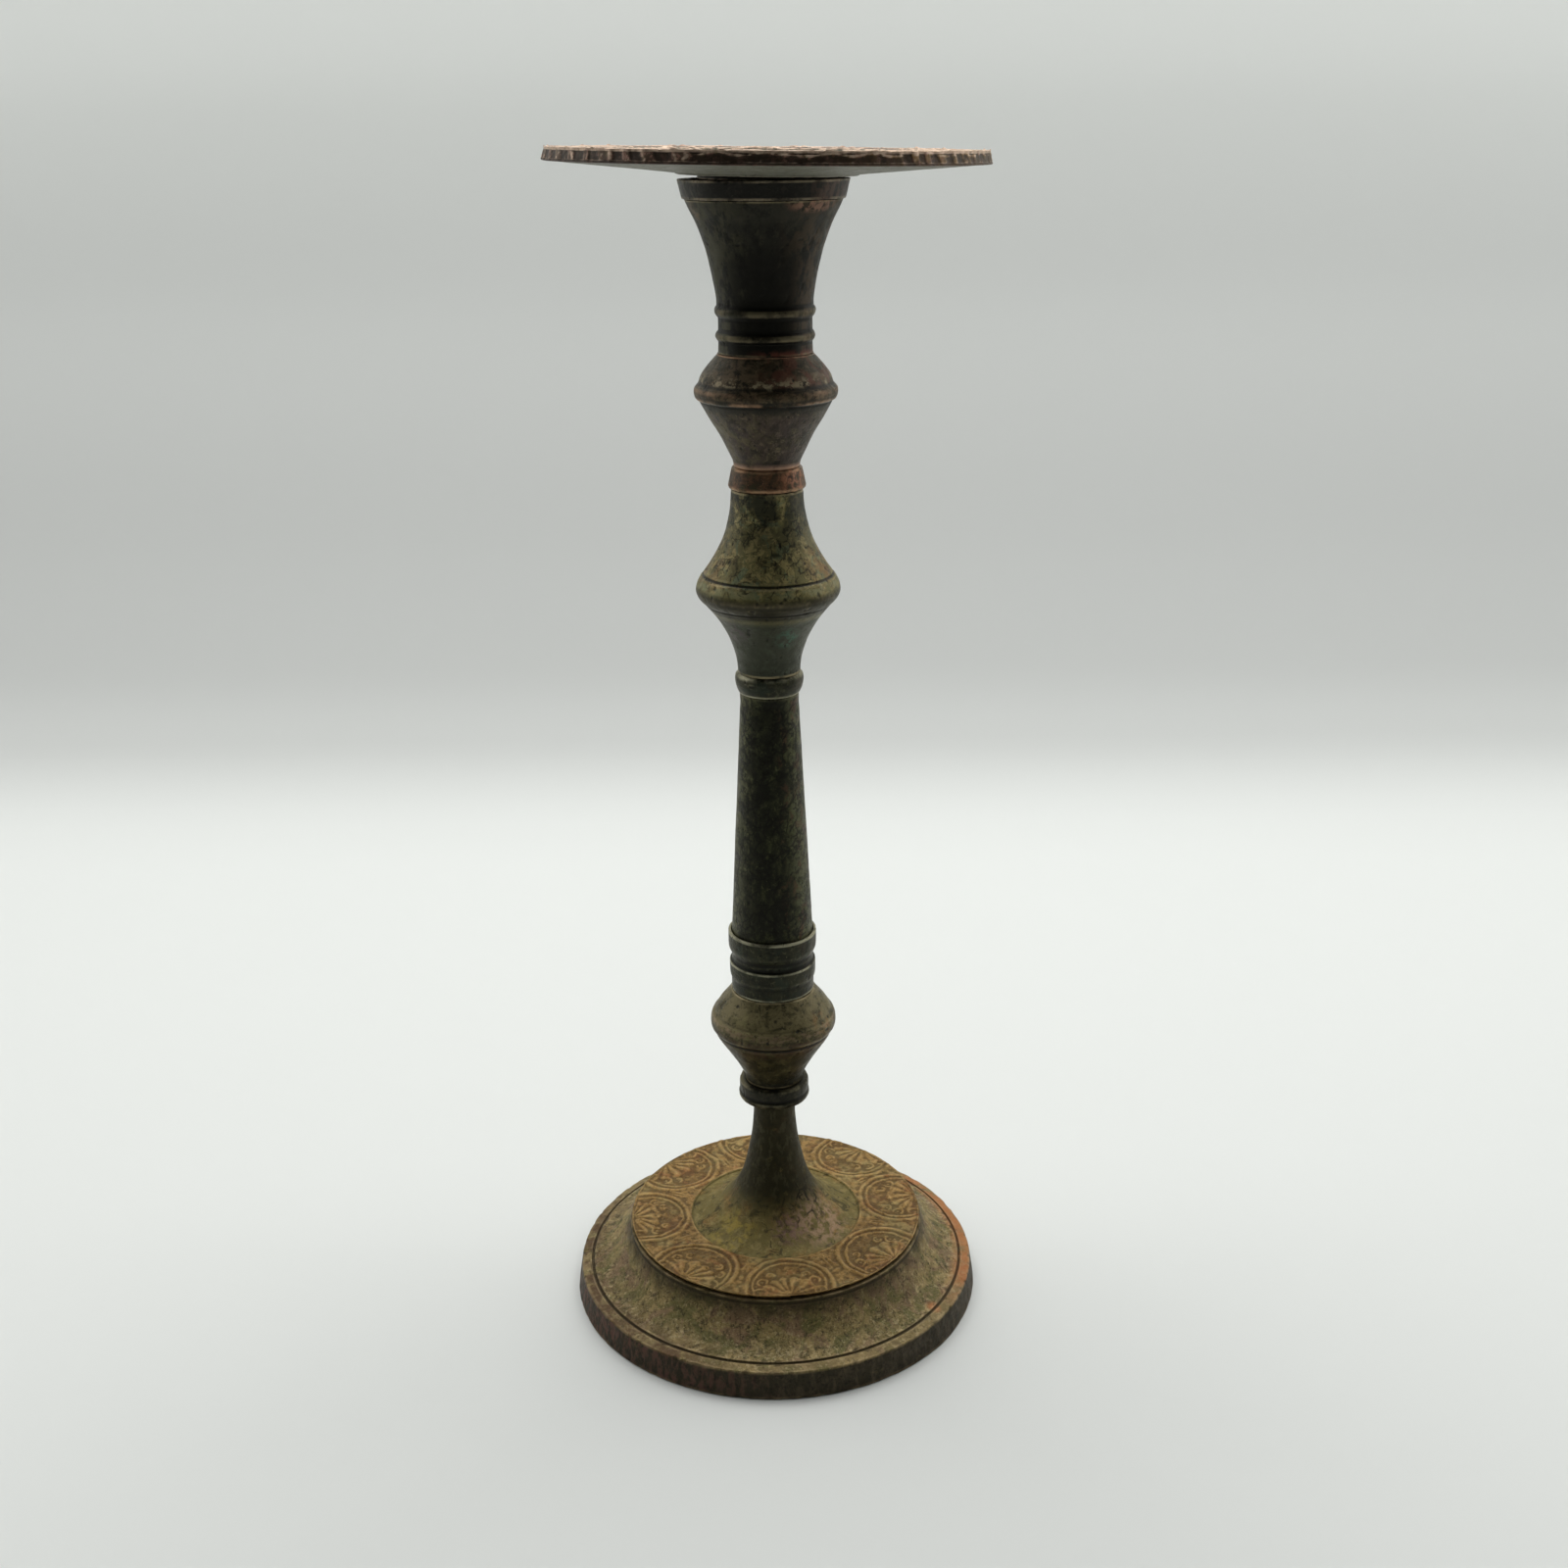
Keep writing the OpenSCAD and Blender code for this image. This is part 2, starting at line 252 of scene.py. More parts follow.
class Rows:
    """Rings of a turned piece: radius, height, outward normal, and how many points each ring has."""

    def __init__(self, rings, counts, closed):
        self.p, self.count, self.closed = np.array(rings), np.array(counts), closed
        self.measure()

    def measure(self):
        p = self.p
        if self.closed:
            before, after = np.roll(p, 1, 0), np.roll(p, -1, 0)
        else:
            before, after = np.vstack([p[:1], p[:-1]]), np.vstack([p[1:], p[-1:]])
        d = after - before
        length = np.maximum(np.hypot(d[:, 0], d[:, 1]), 1e-9)
        self.n = np.stack([d[:, 1] / length, -d[:, 0] / length], 1)
        s = np.concatenate([[0], np.cumsum(np.hypot(*(np.roll(p, -1, 0) - p).T))])
        total, s = s[-1], s[:-1]
        heading = np.unwrap(np.arctan2(-self.n[:, 0], self.n[:, 1]))
        around, headings = s, heading
        if self.closed:
            around = np.concatenate([s - total, s, s + total])
            headings = np.concatenate([heading - 2 * np.pi, heading, heading + 2 * np.pi])
        # how much the outline turns within about 1.4 mm: outwards at edges, inwards in grooves
        turn = np.interp(s + 0.7, around, headings) - np.interp(s - 0.7, around, headings)
        self.edge = np.clip(turn / 0.9, 0, 1)
        self.groove = np.clip(-turn / 0.7, 0, 1)

    def refine(self, test, step, count):
        """Splits straight parts where test(radius, height) holds into rings step apart with count points."""
        rings, counts = [], []
        n = len(self.p)
        for i in range(n):
            a, b = self.p[i], self.p[(i + 1) % n]
            hit = test(*a)
            rings.append(a)
            counts.append(count if hit else self.count[i])
            if hit and test(*b):
                parts = int(math.ceil(np.hypot(*(b - a)) / step))
                rings.extend(a + (b - a) * j / parts for j in range(1, parts))
                counts.extend([count] * (parts - 1))
        return Rows(rings, counts, self.closed)


def corners_of(points, closed):
    """Where the outline turns sharply, and its two ends if it is open."""
    n = len(points)
    d = np.roll(points, -1, 0) - points
    heading = np.arctan2(d[:, 1], d[:, 0])
    turn = np.degrees((heading - np.roll(heading, 1) + np.pi) % (2 * np.pi) - np.pi)
    return [i for i in range(n) if abs(turn[i]) > SHARP_TURN or (not closed and i in (0, n - 1))]


def rows_along(points, closed=True, step=0.5, bevel=0.25, count=360, inner=facing_in, inner_step=3.0,
               inner_count=None):
    """Rings along an outline, step mm apart with count points each, or fewer where inner says it is hidden.
    Its corners are rounded off by the bevel."""
    inner_count = inner_count or count // 5
    n = len(points)
    sharp = corners_of(points, closed)
    runs = []
    for a, b in zip(sharp, sharp[1:] + ([sharp[0] + n] if closed else [])):
        run = np.array([points[i % n] for i in range(a, b + 1)])
        off_start = min(bevel, 0.42 * np.hypot(*(run[1] - run[0]))) if closed or a != sharp[0] else 0
        off_end = min(bevel, 0.42 * np.hypot(*(run[-1] - run[-2]))) if closed or b != sharp[-1] else 0
        before, after = run[len(run) // 2 - 1], run[len(run) // 2]
        nr, nz = np.array([after[1] - before[1], before[0] - after[0]]) / np.hypot(*(after - before))
        hidden = bool(inner(*(after + before) / 2, nr, nz))
        line = shorten(curve(run, inner_step if hidden else step), off_start, off_end)
        runs.append((run[0], line, hidden))
    rings, counts = [], []
    for k, (corner, line, hidden) in enumerate(runs):
        if closed or k > 0:
            _, line_before, hidden_before = runs[k - 1]
            tail, head = line_before[-1], line[0]
            size = np.hypot(*(tail - corner)) + np.hypot(*(head - corner))
            rounded = [bezier(tail, corner, head, t) for t in ((0.25, 0.5, 0.75) if size > 0.2 else (0.5,))]
            rings.extend(rounded)
            counts.extend([inner_count if hidden and hidden_before else count] * len(rounded))
        rings.extend(line)
        counts.extend([inner_count if hidden else count] * len(line))
    return Rows(rings, counts, closed)


# ---------------------------------------------------------------- meshes

def around(r, a, z):
    """Points at radius r, angle a and height z."""
    return np.stack([r * np.cos(a), r * np.sin(a), z], 1)


def blur(h, reach):
    """Mean of a grid over reach cells either way, round the ring and along it."""
    total = sum(np.roll(h, k, 1) for k in range(-reach, reach + 1)) / (2 * reach + 1)
    padded = np.pad(total, ((reach, reach), (0, 0)), mode="edge")
    return sum(padded[k:k + len(h)] for k in range(2 * reach + 1)) / (2 * reach + 1)


def points_of(rows):
    """Columns for all points of the rows, p being the points themselves. Also how many points each row has."""
    counts = np.where(rows.p[:, 0] < 1e-6, 1, rows.count)
    starts = np.concatenate([[0], np.cumsum(counts)])
    row = np.repeat(np.arange(len(counts)), counts)
    v = {
        "r": rows.p[row, 0], "z": rows.p[row, 1], "nr": rows.n[row, 0], "nz": rows.n[row, 1],
        "a": 2 * np.pi * (np.arange(starts[-1]) - starts[row]) / counts[row],
        "edge": rows.edge[row], "groove": rows.groove[row], "count": counts[row],
    }
    v["p"] = around(v["r"], v["a"], v["z"])
    return v, counts


def relief_of(off, counts):
    """How far each point stands above its near surroundings, and how far below its wider ones."""
    starts = np.concatenate([[0], np.cumsum(counts)])
    up, down = np.zeros(len(off)), np.zeros(len(off))
    i = 0
    while i < len(counts):
        j = i
        while j < len(counts) and counts[j] == counts[i]:
            j += 1
        if counts[i] > HIDDEN_COUNT:
            part = slice(starts[i], starts[j])
            grid = off[part].reshape(j - i, counts[i])
            up[part] = (grid - blur(grid, 2)).ravel()
            down[part] = (blur(grid, 4) - grid).ravel()
        i = j
    return up, down


def fan(fine, m, coarse, n):
    """Faces between a ring of m points from fine on and one of n from coarse on, where m is a multiple of n."""
    faces = []
    for q in range(n):
        edge = [int(fine + (q * m // n + t) % m) for t in range(m // n + 1)]
        if n == 1:
            faces.extend([a, b, int(coarse)] for a, b in zip(edge, edge[1:]))
        else:
            faces.append(edge + [int(coarse + (q + 1) % n), int(coarse + q)])
    return faces


def ring_faces(counts, closed):
    """Faces between each ring and the next, and between the last and the first if closed."""
    starts = np.concatenate([[0], np.cumsum(counts)])
    faces = []
    for i in range(len(counts) if closed else len(counts) - 1):
        j = (i + 1) % len(counts)
        lo, hi, m, n = starts[i], starts[j], counts[i], counts[j]
        if m == n and m > 1:
            q = np.arange(m)
            faces.extend(np.stack([lo + q, lo + (q + 1) % m, hi + (q + 1) % m, hi + q], 1).tolist())
        elif m > n:
            faces.extend(fan(lo, m, hi, n))
        elif m < n:
            faces.extend(face[::-1] for face in fan(hi, n, lo, m))
    return faces


def spin(node, body, slot, rows, shape, place=None, depth=0.16):
    """Turns the rows into the mesh that stands for a CAD node. shape(v) is given the columns of points_of and
    says how far each point moves along its normal. It may add the columns tone (above 0 worn, below 0 dirty;
    also painted highlight and painted shade on the relief and the pan rim), dull (no wear) and zone."""
    v, counts = points_of(rows)
    off = shape(v)
    up, down = relief_of(off, counts)
    tone, dull = v.get("tone", 0.0), v.get("dull", 0.0)
    # wear and hollow carry real wear and dirt, and also painted highlights on edges and raised relief and
    # painted shade in hollows.
    wear = np.clip(v["edge"] + np.clip(up / depth, 0, 1) + np.maximum(tone, 0), 0, 1) * (1 - dull)
    hollow = np.clip(v["groove"] + np.clip(down / depth, 0, 1) + np.maximum(-tone, 0), 0, 1)
    co = around(np.maximum(v["r"] + off * v["nr"], 0), v["a"], v["z"] + off * v["nz"])
    if place is not None:
        co = place(co)
    return add_mesh(node, body, slot, co, ring_faces(counts, rows.closed), wear, hollow, v.get("zone"))


def add_mesh(node, body, slot, co, faces, wear, hollow, zone=None):
    name = node + "_look"
    mesh = bpy.data.meshes.new(name)
    mesh.from_pydata((co * MM).tolist(), [], faces)
    mesh.polygons.foreach_set("use_smooth", np.ones(len(mesh.polygons), bool))
    zone = np.zeros(len(co)) if zone is None else zone
    for key, values in (("wear", wear), ("hollow", hollow), ("zone", zone)):
        mesh.attributes.new(key, "FLOAT", "POINT").data.foreach_set("value", values.astype(np.float32))
    mesh.update()
    mesh.validate()
    obj = bpy.data.objects.new(name, mesh)
    bpy.context.scene.collection.objects.link(obj)
    mesh.materials.append(materials[slot])
    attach(obj, body)
    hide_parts(node)
    return obj


# ---------------------------------------------------------------- surfaces

def cast(v, seed, dents=0.05, lumps=0.03, grit=0.012, pits=0.12, chips=0.12):
    """Uneven old metal: dents, lumps, grit, pits and knocked edges. Never outside the outline."""
    p = v["p"]
    off = dents * (noise(p, 13, seed) - 1) + lumps * (noise(p, 3.4, seed + 1) - 1)
    off += grit * (noise(p, 0.9, seed + 2) - 1)
    off -= pits * smooth(noise(p, 1.5, seed + 3) + 0.5 * noise(p, 6, seed + 4), 0.72, 1.05)
    off -= chips * v["edge"] * smooth(noise(p, 2.2, seed + 5) + 0.6 * noise(p, 7, seed + 6), 0.05, 0.9)
    return np.where(v["count"] > HIDDEN_COUNT, off, 0)


def medallion(u, w, seed):
    """One medallion, an arch round a shell: its height from 0 to 1 at u mm outwards and w mm sideways from its
    centre, and the distance from there."""
    d = np.hypot(u, w)
    turn = np.arctan2(w, -u)
    h = bump(d - 15.2 - 0.3 * np.cos(3 * turn + seed), 1.2)
    h = np.maximum(h, 0.7 * bump(d - 12.9, 0.8) * smooth(np.cos(turn), -0.7, 0.0))
    lean = 0.2 * math.sin(seed * 2.3)
    dx, dy = 5.9 - u, w
    rho = np.hypot(dx, dy * 0.96)
    theta = np.arctan2(dy, dx) - lean
    theta = theta + 0.1 * np.sin(3 * theta + seed)
    reach = 10.9 + 0.4 * np.cos(theta * 14.5)
    shell = smooth(rho, 0.4, 2.0) * (1 - smooth(rho, reach - 1.1, reach + 0.1))
    shell *= 1 - smooth(np.abs(theta), 1.15, 1.4)
    rib = 0.5 + 0.5 * np.cos(theta * 14.5)
    h = np.maximum(h, shell * (0.3 + 0.7 * rib))
    for side in (-1, 1):
        for cu, cw, size in ((3.4, 10.6, 2.3), (-2.6, 9.2, 1.7), (-6.2, 6.2, 1.3)):
            e = np.hypot(u - cu - 0.5 * side * math.sin(seed), w - side * cw)
            around = np.arctan2(w - side * cw, u - cu)
            open_at = smooth(np.cos(around - side * (2.4 + seed)), -0.85, -0.3)
            h = np.maximum(h, 0.8 * bump(e - size, 0.7) * open_at)
            h = np.maximum(h, 0.55 * bump(e, 0.7))
    return h, d


def relief(x, y, turns, centre_r, seed, depth):
    """Worn cast relief of a ring of medallions: height in mm above the field, negative in the hollows."""
    p = np.stack([x, y, np.full_like(x, 7.0 * seed)], 1)
    h = np.zeros(len(x))
    inside = np.zeros(len(x))
    wob_x = x + 0.35 * noise(p, 4, seed + 20)
    wob_y = y + 0.35 * noise(p, 4, seed + 21)
    for i, turn in enumerate(turns):
        a = math.radians(turn)
        u = wob_x * math.cos(a) + wob_y * math.sin(a) - centre_r
        w = -wob_x * math.sin(a) + wob_y * math.cos(a)
        near = np.hypot(u, w) < 17.5
        m, d = medallion(u[near], w[near], seed + i * 1.7)
        h[near] = np.maximum(h[near], m)
        inside[near] = np.maximum(inside[near], 1 - smooth(d, 14.0, 14.8))
    # leaf stubs in the corners between the medallions, towards the middle
    r = np.hypot(wob_x, wob_y)
    a = np.degrees(np.arctan2(wob_y, wob_x))
    for i, turn in enumerate(turns):
        gap = (turns[(i + 1) % len(turns)] - turn) % 360
        mid = turn + gap / 2
        da = np.radians((a - mid + 180) % 360 - 180) * centre_r
        h = np.maximum(h, 0.55 * bump(da - 0.9, 0.7) * bump(r - (centre_r - 9.5), 4.0))
        h = np.maximum(h, 0.55 * bump(da + 0.9, 0.7) * bump(r - (centre_r - 9.5), 4.0))
        h = np.maximum(h, 0.5 * bump(np.hypot(da, r - (centre_r - 3.5)), 1.3))
    worn = 0.8 + 0.2 * noise(p, 9, seed + 22) + 0.25 * noise(p, 2.4, seed + 23)
    h = np.clip(h * worn, 0, 1)
    ground = -0.3 * inside * (1 - h) + 0.22 * noise(p, 2.4, seed + 24) + 0.14 * noise(p, 1.1, seed + 25)
    return depth * np.minimum(h + ground, 1.0)


# ---------------------------------------------------------------- finishes

def linear(r, g, b):
    """Colour given as 0 to 255 in display terms, as linear light."""
    def one(c):
        c = c / 255
        return c / 12.92 if c <= 0.04045 else ((c + 0.055) / 1.055) ** 2.4
    return (one(r), one(g), one(b), 1.0)


class Finish:
    """Builds one procedural metal: layers of colour over a ground, with its own roughness and bump."""

    def __init__(self, name, ground):
        self.material = bpy.data.materials.new(name)
        self.material.use_nodes = True
        self.tree = self.material.node_tree
        self.tree.nodes.clear()
        self.ground = linear(*ground)
        self.colour = None
        self.seed = sum(ord(c) for c in name) % 97
        where = self.tree.nodes.new("ShaderNodeTexCoord")
        scale = self.node("ShaderNodeVectorMath", operation="SCALE")
        scale.inputs["Scale"].default_value = 1 / MM
        self.link(where.outputs["Object"], scale.inputs[0])
        self.place = scale.outputs[0]

    def node(self, kind, **settings):
        n = self.tree.nodes.new(kind)
        for key, value in settings.items():
            setattr(n, key, value)
        return n

    def link(self, a, b):
        self.tree.links.new(a, b)

    def put(self, socket, value):
        if isinstance(value, bpy.types.NodeSocket):
            self.link(value, socket)
        else:
            socket.default_value = value

    def math(self, operation, a, b=0.0):
        n = self.node("ShaderNodeMath", operation=operation)
        self.put(n.inputs[0], a)
        self.put(n.inputs[1], b)
        return n.outputs[0]

    def both(self, first, *others):
        """The product of several masks."""
        for other in others:
            first = self.math("MULTIPLY", first, other)
        return first

    def clouds(self, low, high, *shape, **settings):
        """Noise cut to a mask: 0 below low, 1 above high. The rest is what grain takes."""
        return self.ramp(self.grain(*shape, **settings), low, high)

    def grain(self, size, stretch=(1, 1, 1), detail=4.0, rough=0.6, warp=0.0):
        """Noise from 0 to 1 whose features are about size mm, drawn out where stretch is small."""
        self.seed += 1
        m = self.node("ShaderNodeMapping")
        m.inputs["Location"].default_value = (self.seed * 3.17, self.seed * 1.31, self.seed * 2.03)
        m.inputs["Scale"].default_value = tuple(s / size for s in stretch)
        self.link(self.place, m.inputs["Vector"])
        n = self.node("ShaderNodeTexNoise")
        n.inputs["Scale"].default_value = 1.0
        n.inputs["Detail"].default_value = detail
        n.inputs["Roughness"].default_value = rough
        n.inputs["Distortion"].default_value = warp
        self.link(m.outputs[0], n.inputs["Vector"])
        return n.outputs["Fac"]

    def ramp(self, value, low, high, out_low=0.0, out_high=1.0):
        """Smooth step from out_low at low to out_high at high. Low may be the larger."""
        if low > high:
            low, high, out_low, out_high = high, low, out_high, out_low
        n = self.node("ShaderNodeMapRange", interpolation_type="SMOOTHSTEP")
        self.link(value, n.inputs["Value"])
        n.inputs["From Min"].default_value = low
        n.inputs["From Max"].default_value = high
        n.inputs["To Min"].default_value = out_low
        n.inputs["To Max"].default_value = out_high
        return n.outputs["Result"]

    def attribute(self, name):
        n = self.node("ShaderNodeAttribute", attribute_name=name)
        return n.outputs["Fac"]

    def near(self, point, radius, squash=(1, 1, 1)):
        """1 at a point in mm, 0 beyond the radius."""
        m = self.node("ShaderNodeVectorMath", operation="SUBTRACT")
        self.link(self.place, m.inputs[0])
        m.inputs[1].default_value = point
        k = self.node("ShaderNodeVectorMath", operation="MULTIPLY")
        self.link(m.outputs[0], k.inputs[0])
        k.inputs[1].default_value = squash
        d = self.node("ShaderNodeVectorMath", operation="LENGTH")
        self.link(k.outputs[0], d.inputs[0])
        return self.ramp(d.outputs["Value"], radius, radius * 0.35)

    def height(self, low, high):
        """0 below the height low, 1 above high, in mm."""
        s = self.node("ShaderNodeSeparateXYZ")
        self.link(self.place, s.inputs[0])
        return self.ramp(s.outputs["Z"], low, high)

    def far_out(self, low, high):
        """0 nearer the axis than low, 1 beyond high, in mm."""
        flat = self.node("ShaderNodeVectorMath", operation="MULTIPLY")
        self.link(self.place, flat.inputs[0])
        flat.inputs[1].default_value = (1, 1, 0)
        length = self.node("ShaderNodeVectorMath", operation="LENGTH")
        self.link(flat.outputs[0], length.inputs[0])
        return self.ramp(length.outputs["Value"], low, high)

    def side(self, angle, width=0.9):
        """1 on the side that faces the angle, in degrees from +X, fading out over width."""
        flat = self.node("ShaderNodeVectorMath", operation="MULTIPLY")
        self.link(self.place, flat.inputs[0])
        flat.inputs[1].default_value = (1, 1, 0)
        unit = self.node("ShaderNodeVectorMath", operation="NORMALIZE")
        self.link(flat.outputs[0], unit.inputs[0])
        dot = self.node("ShaderNodeVectorMath", operation="DOT_PRODUCT")
        self.link(unit.outputs[0], dot.inputs[0])
        dot.inputs[1].default_value = (math.cos(math.radians(angle)), math.sin(math.radians(angle)), 0)
        return self.ramp(dot.outputs["Value"], 1 - width, 1 - width * 0.25)

    def cracks(self, size, width, stretch=(1, 1, 1)):
        """1 on thin lines between cells of about size mm."""
        warp = self.grain(size * 0.7, detail=2)
        m = self.node("ShaderNodeMapping")
        m.inputs["Scale"].default_value = tuple(s / size for s in stretch)
        self.link(self.place, m.inputs["Vector"])
        add = self.node("ShaderNodeVectorMath", operation="ADD")
        self.link(m.outputs[0], add.inputs[0])
        push = self.node("ShaderNodeCombineXYZ")
        self.link(warp, push.inputs[0])
        self.link(warp, push.inputs[1])
        self.link(warp, push.inputs[2])
        self.link(push.outputs[0], add.inputs[1])
        v = self.node("ShaderNodeTexVoronoi", feature="DISTANCE_TO_EDGE")
        v.inputs["Scale"].default_value = 1.0
        self.link(add.outputs[0], v.inputs["Vector"])
        return self.ramp(v.outputs["Distance"], width / size, 0.0)

    def tint(self, colour, mask, strength=1.0):
        """Lays a colour over what is there, as strongly as the mask says."""
        m = self.node("ShaderNodeMix", data_type="RGBA")
        self.put(m.inputs[0], mask if strength == 1.0 else self.math("MULTIPLY", mask, strength))
        self.put(m.inputs[6], self.colour if self.colour else self.ground)
        m.inputs[7].default_value = linear(*colour)
        self.colour = m.outputs[2]
        return self

    def patch(self, colour, point, radius, strength=0.8, size=2.5, low=0.42, high=0.6, squash=(1, 1, 1)):
        """A broken patch of colour round a point."""
        spot = self.near(point, radius, squash)
        ragged = self.clouds(low, high, size, detail=5, rough=0.65, warp=0.4)
        return self.tint(colour, self.both(spot, ragged), strength)

    def done(self, rough, metal=0.25, bump=0.10, lines=0.0, specular=0.5):
        """Closes the material. Bump is the height of its grit in mm, lines the strength of its turning marks."""
        shader = self.node("ShaderNodeBsdfPrincipled")
        out = self.node("ShaderNodeOutputMaterial")
        self.link(self.colour, shader.inputs["Base Color"])
        broad = self.grain(3.0, detail=6, rough=0.7)
        wear = self.attribute("wear")
        dull = self.ramp(broad, 0.3, 0.7, rough[1], rough[0])
        sheen = self.math("SUBTRACT", dull, self.math("MULTIPLY", wear, WORN_GLOSS))
        self.link(sheen, shader.inputs["Roughness"])
        bare = self.math("MULTIPLY", wear, WORN_METAL)
        self.link(self.math("ADD", bare, metal), shader.inputs["Metallic"])
        shader.inputs["Specular IOR Level"].default_value = specular
        shader.inputs["Specular Tint"].default_value = (1.0, 0.95, 0.82, 1)
        coarse = self.math("MULTIPLY", self.grain(1.8, detail=3), 0.6)
        fine = self.math("MULTIPLY", self.grain(0.45, detail=3, rough=0.7), 0.4)
        height = self.math("ADD", coarse, fine)
        if lines:
            marks = self.math("MULTIPLY", self.grain(0.7, (0.02, 0.02, 1), detail=2), lines)
            height = self.math("ADD", height, marks)
        relief_node = self.node("ShaderNodeBump")
        relief_node.inputs["Strength"].default_value = 1.0
        relief_node.inputs["Distance"].default_value = bump * MM
        self.link(height, relief_node.inputs["Height"])
        self.link(relief_node.outputs[0], shader.inputs["Normal"])
        self.link(shader.outputs[0], out.inputs["Surface"])
        return self.material


def old_bronze(name, ground, cloud, pale, stretch=(1, 1, 1), big=9.0, small=2.2):
    """The common patina: a ground, clouds of a second colour, paler flecks and dark pits, at three sizes."""
    f = Finish(name, ground)
    deep, pit = tuple(c * 0.4 for c in ground), tuple(c * 0.5 for c in ground)
    dust = tuple(min(255, c * 1.25 + 10) for c in pale)
    f.tint(cloud, f.clouds(0.44, 0.56, big, stretch, detail=6, rough=0.68, warp=0.6))
    f.tint(pale, f.clouds(0.53, 0.65, small, stretch, detail=6, rough=0.72, warp=0.4), 0.7)
    f.tint(deep, f.clouds(0.56, 0.66, big * 0.45, stretch, detail=6, rough=0.75, warp=0.8), 0.75)
    f.tint(pit, f.clouds(0.56, 0.68, 0.9, detail=4, rough=0.7), 0.7)
    f.tint(dust, f.clouds(0.62, 0.72, 0.7, detail=3, rough=0.7), 0.55)
    return f


def aged(f, dark, bright, hollow=0.9, wear=0.7, spread=6.0):
    """Dirt and painted shade in the hollows, worn metal and painted highlights on the edges and raised relief,
    both broken up.
    """
    # Dark in the hollows: partly dirt, partly painted shade. Pale on the edges: partly wear, partly painted
    # highlight.
    dirt_and_shade = f.both(f.ramp(f.attribute("hollow"), 0.05, 0.75), f.clouds(0.1, 0.45, 1.6, detail=3))
    rubbed_and_lit = f.both(f.ramp(f.attribute("wear"), 0.2, 1.0), f.clouds(0.36, 0.6, spread, detail=5, rough=0.6))
    f.tint(dark, dirt_and_shade, hollow)
    return f.tint(bright, rubbed_and_lit, wear)


def foot_bronze():
    """The foot: olive cove clouded with mauve and brown, a tan outer ring and a dark streaked side."""
    f = old_bronze("foot_bronze", (122, 107, 68), (146, 127, 84), (178, 160, 118), big=10, small=2.6)
    f.tint((120, 92, 76), f.clouds(0.5, 0.6, 12, detail=6, rough=0.66, warp=0.8), 0.6)
    f.tint((84, 86, 46), f.clouds(0.5, 0.6, 8, detail=6, rough=0.68, warp=0.8), 0.65)
    f.tint((178, 162, 122), f.both(f.clouds(0.52, 0.6, 1.8, detail=5, rough=0.75), f.height(15, 10.5)), 0.65)
    f.tint((58, 52, 32), f.clouds(0.53, 0.6, 5.5, (1, 1, 0.7), detail=7, rough=0.8, warp=1.2), 0.7)
    f.tint((40, 35, 22), f.clouds(0.53, 0.6, 1.6, detail=6, rough=0.8, warp=0.6), 0.7)
    f.tint((190, 172, 128), f.clouds(0.57, 0.64, 1.1, detail=5, rough=0.78), 0.5)
    # Painted shade: darker brown at the top of the cove, under the disc's lip.
    f.tint((56, 48, 30), f.both(f.height(17.5, 23.5), f.clouds(0.25, 0.5, 5, detail=5)), 0.75)
    ring = f.both(f.height(9.2, 9.9), f.height(10.95, 10.75))
    f.tint((128, 110, 76), f.both(ring, f.far_out(66.5, 68.2), f.clouds(0.3, 0.6, 4, detail=5)), 0.6)
    f.tint((74, 50, 36), f.both(f.side(-160, 0.6), f.far_out(60, 70), f.clouds(0.36, 0.56, 6, detail=5)), 0.8)
    f.tint((172, 106, 62), f.both(f.side(12, 0.3), f.far_out(64.5, 69), f.clouds(0.3, 0.56, 7, detail=4)), 0.7)
    streaks = f.clouds(0.44, 0.62, 2.4, (1, 1, 0.4), detail=6, rough=0.7, warp=0.5)
    side = f.both(f.height(9.7, 9.0), f.far_out(71.6, 72.2))
    f.tint((50, 45, 34), f.both(side, f.clouds(0.1, 0.4, 7, detail=4)), 0.96)
    f.tint((96, 84, 66), f.both(side, streaks), 0.5)
    f.tint((24, 21, 15), f.both(side, f.clouds(0.53, 0.6, 2.2, detail=6, rough=0.78)), 0.7)
    f.tint((98, 66, 58), f.both(side, f.side(-150, 0.6), streaks), 0.75)
    f.tint((72, 64, 56), f.both(side, f.side(-15, 0.5), streaks), 0.5)
    f.patch((196, 126, 80), (56.5, -38.5, 13), 4.2, 0.9, size=3, low=0.3, high=0.45)
    aged(f, (46, 38, 24), (164, 144, 110), hollow=0.8, wear=0.35)
    return f.done(rough=(0.46, 0.68), metal=0.1, bump=0.32, specular=0.16)


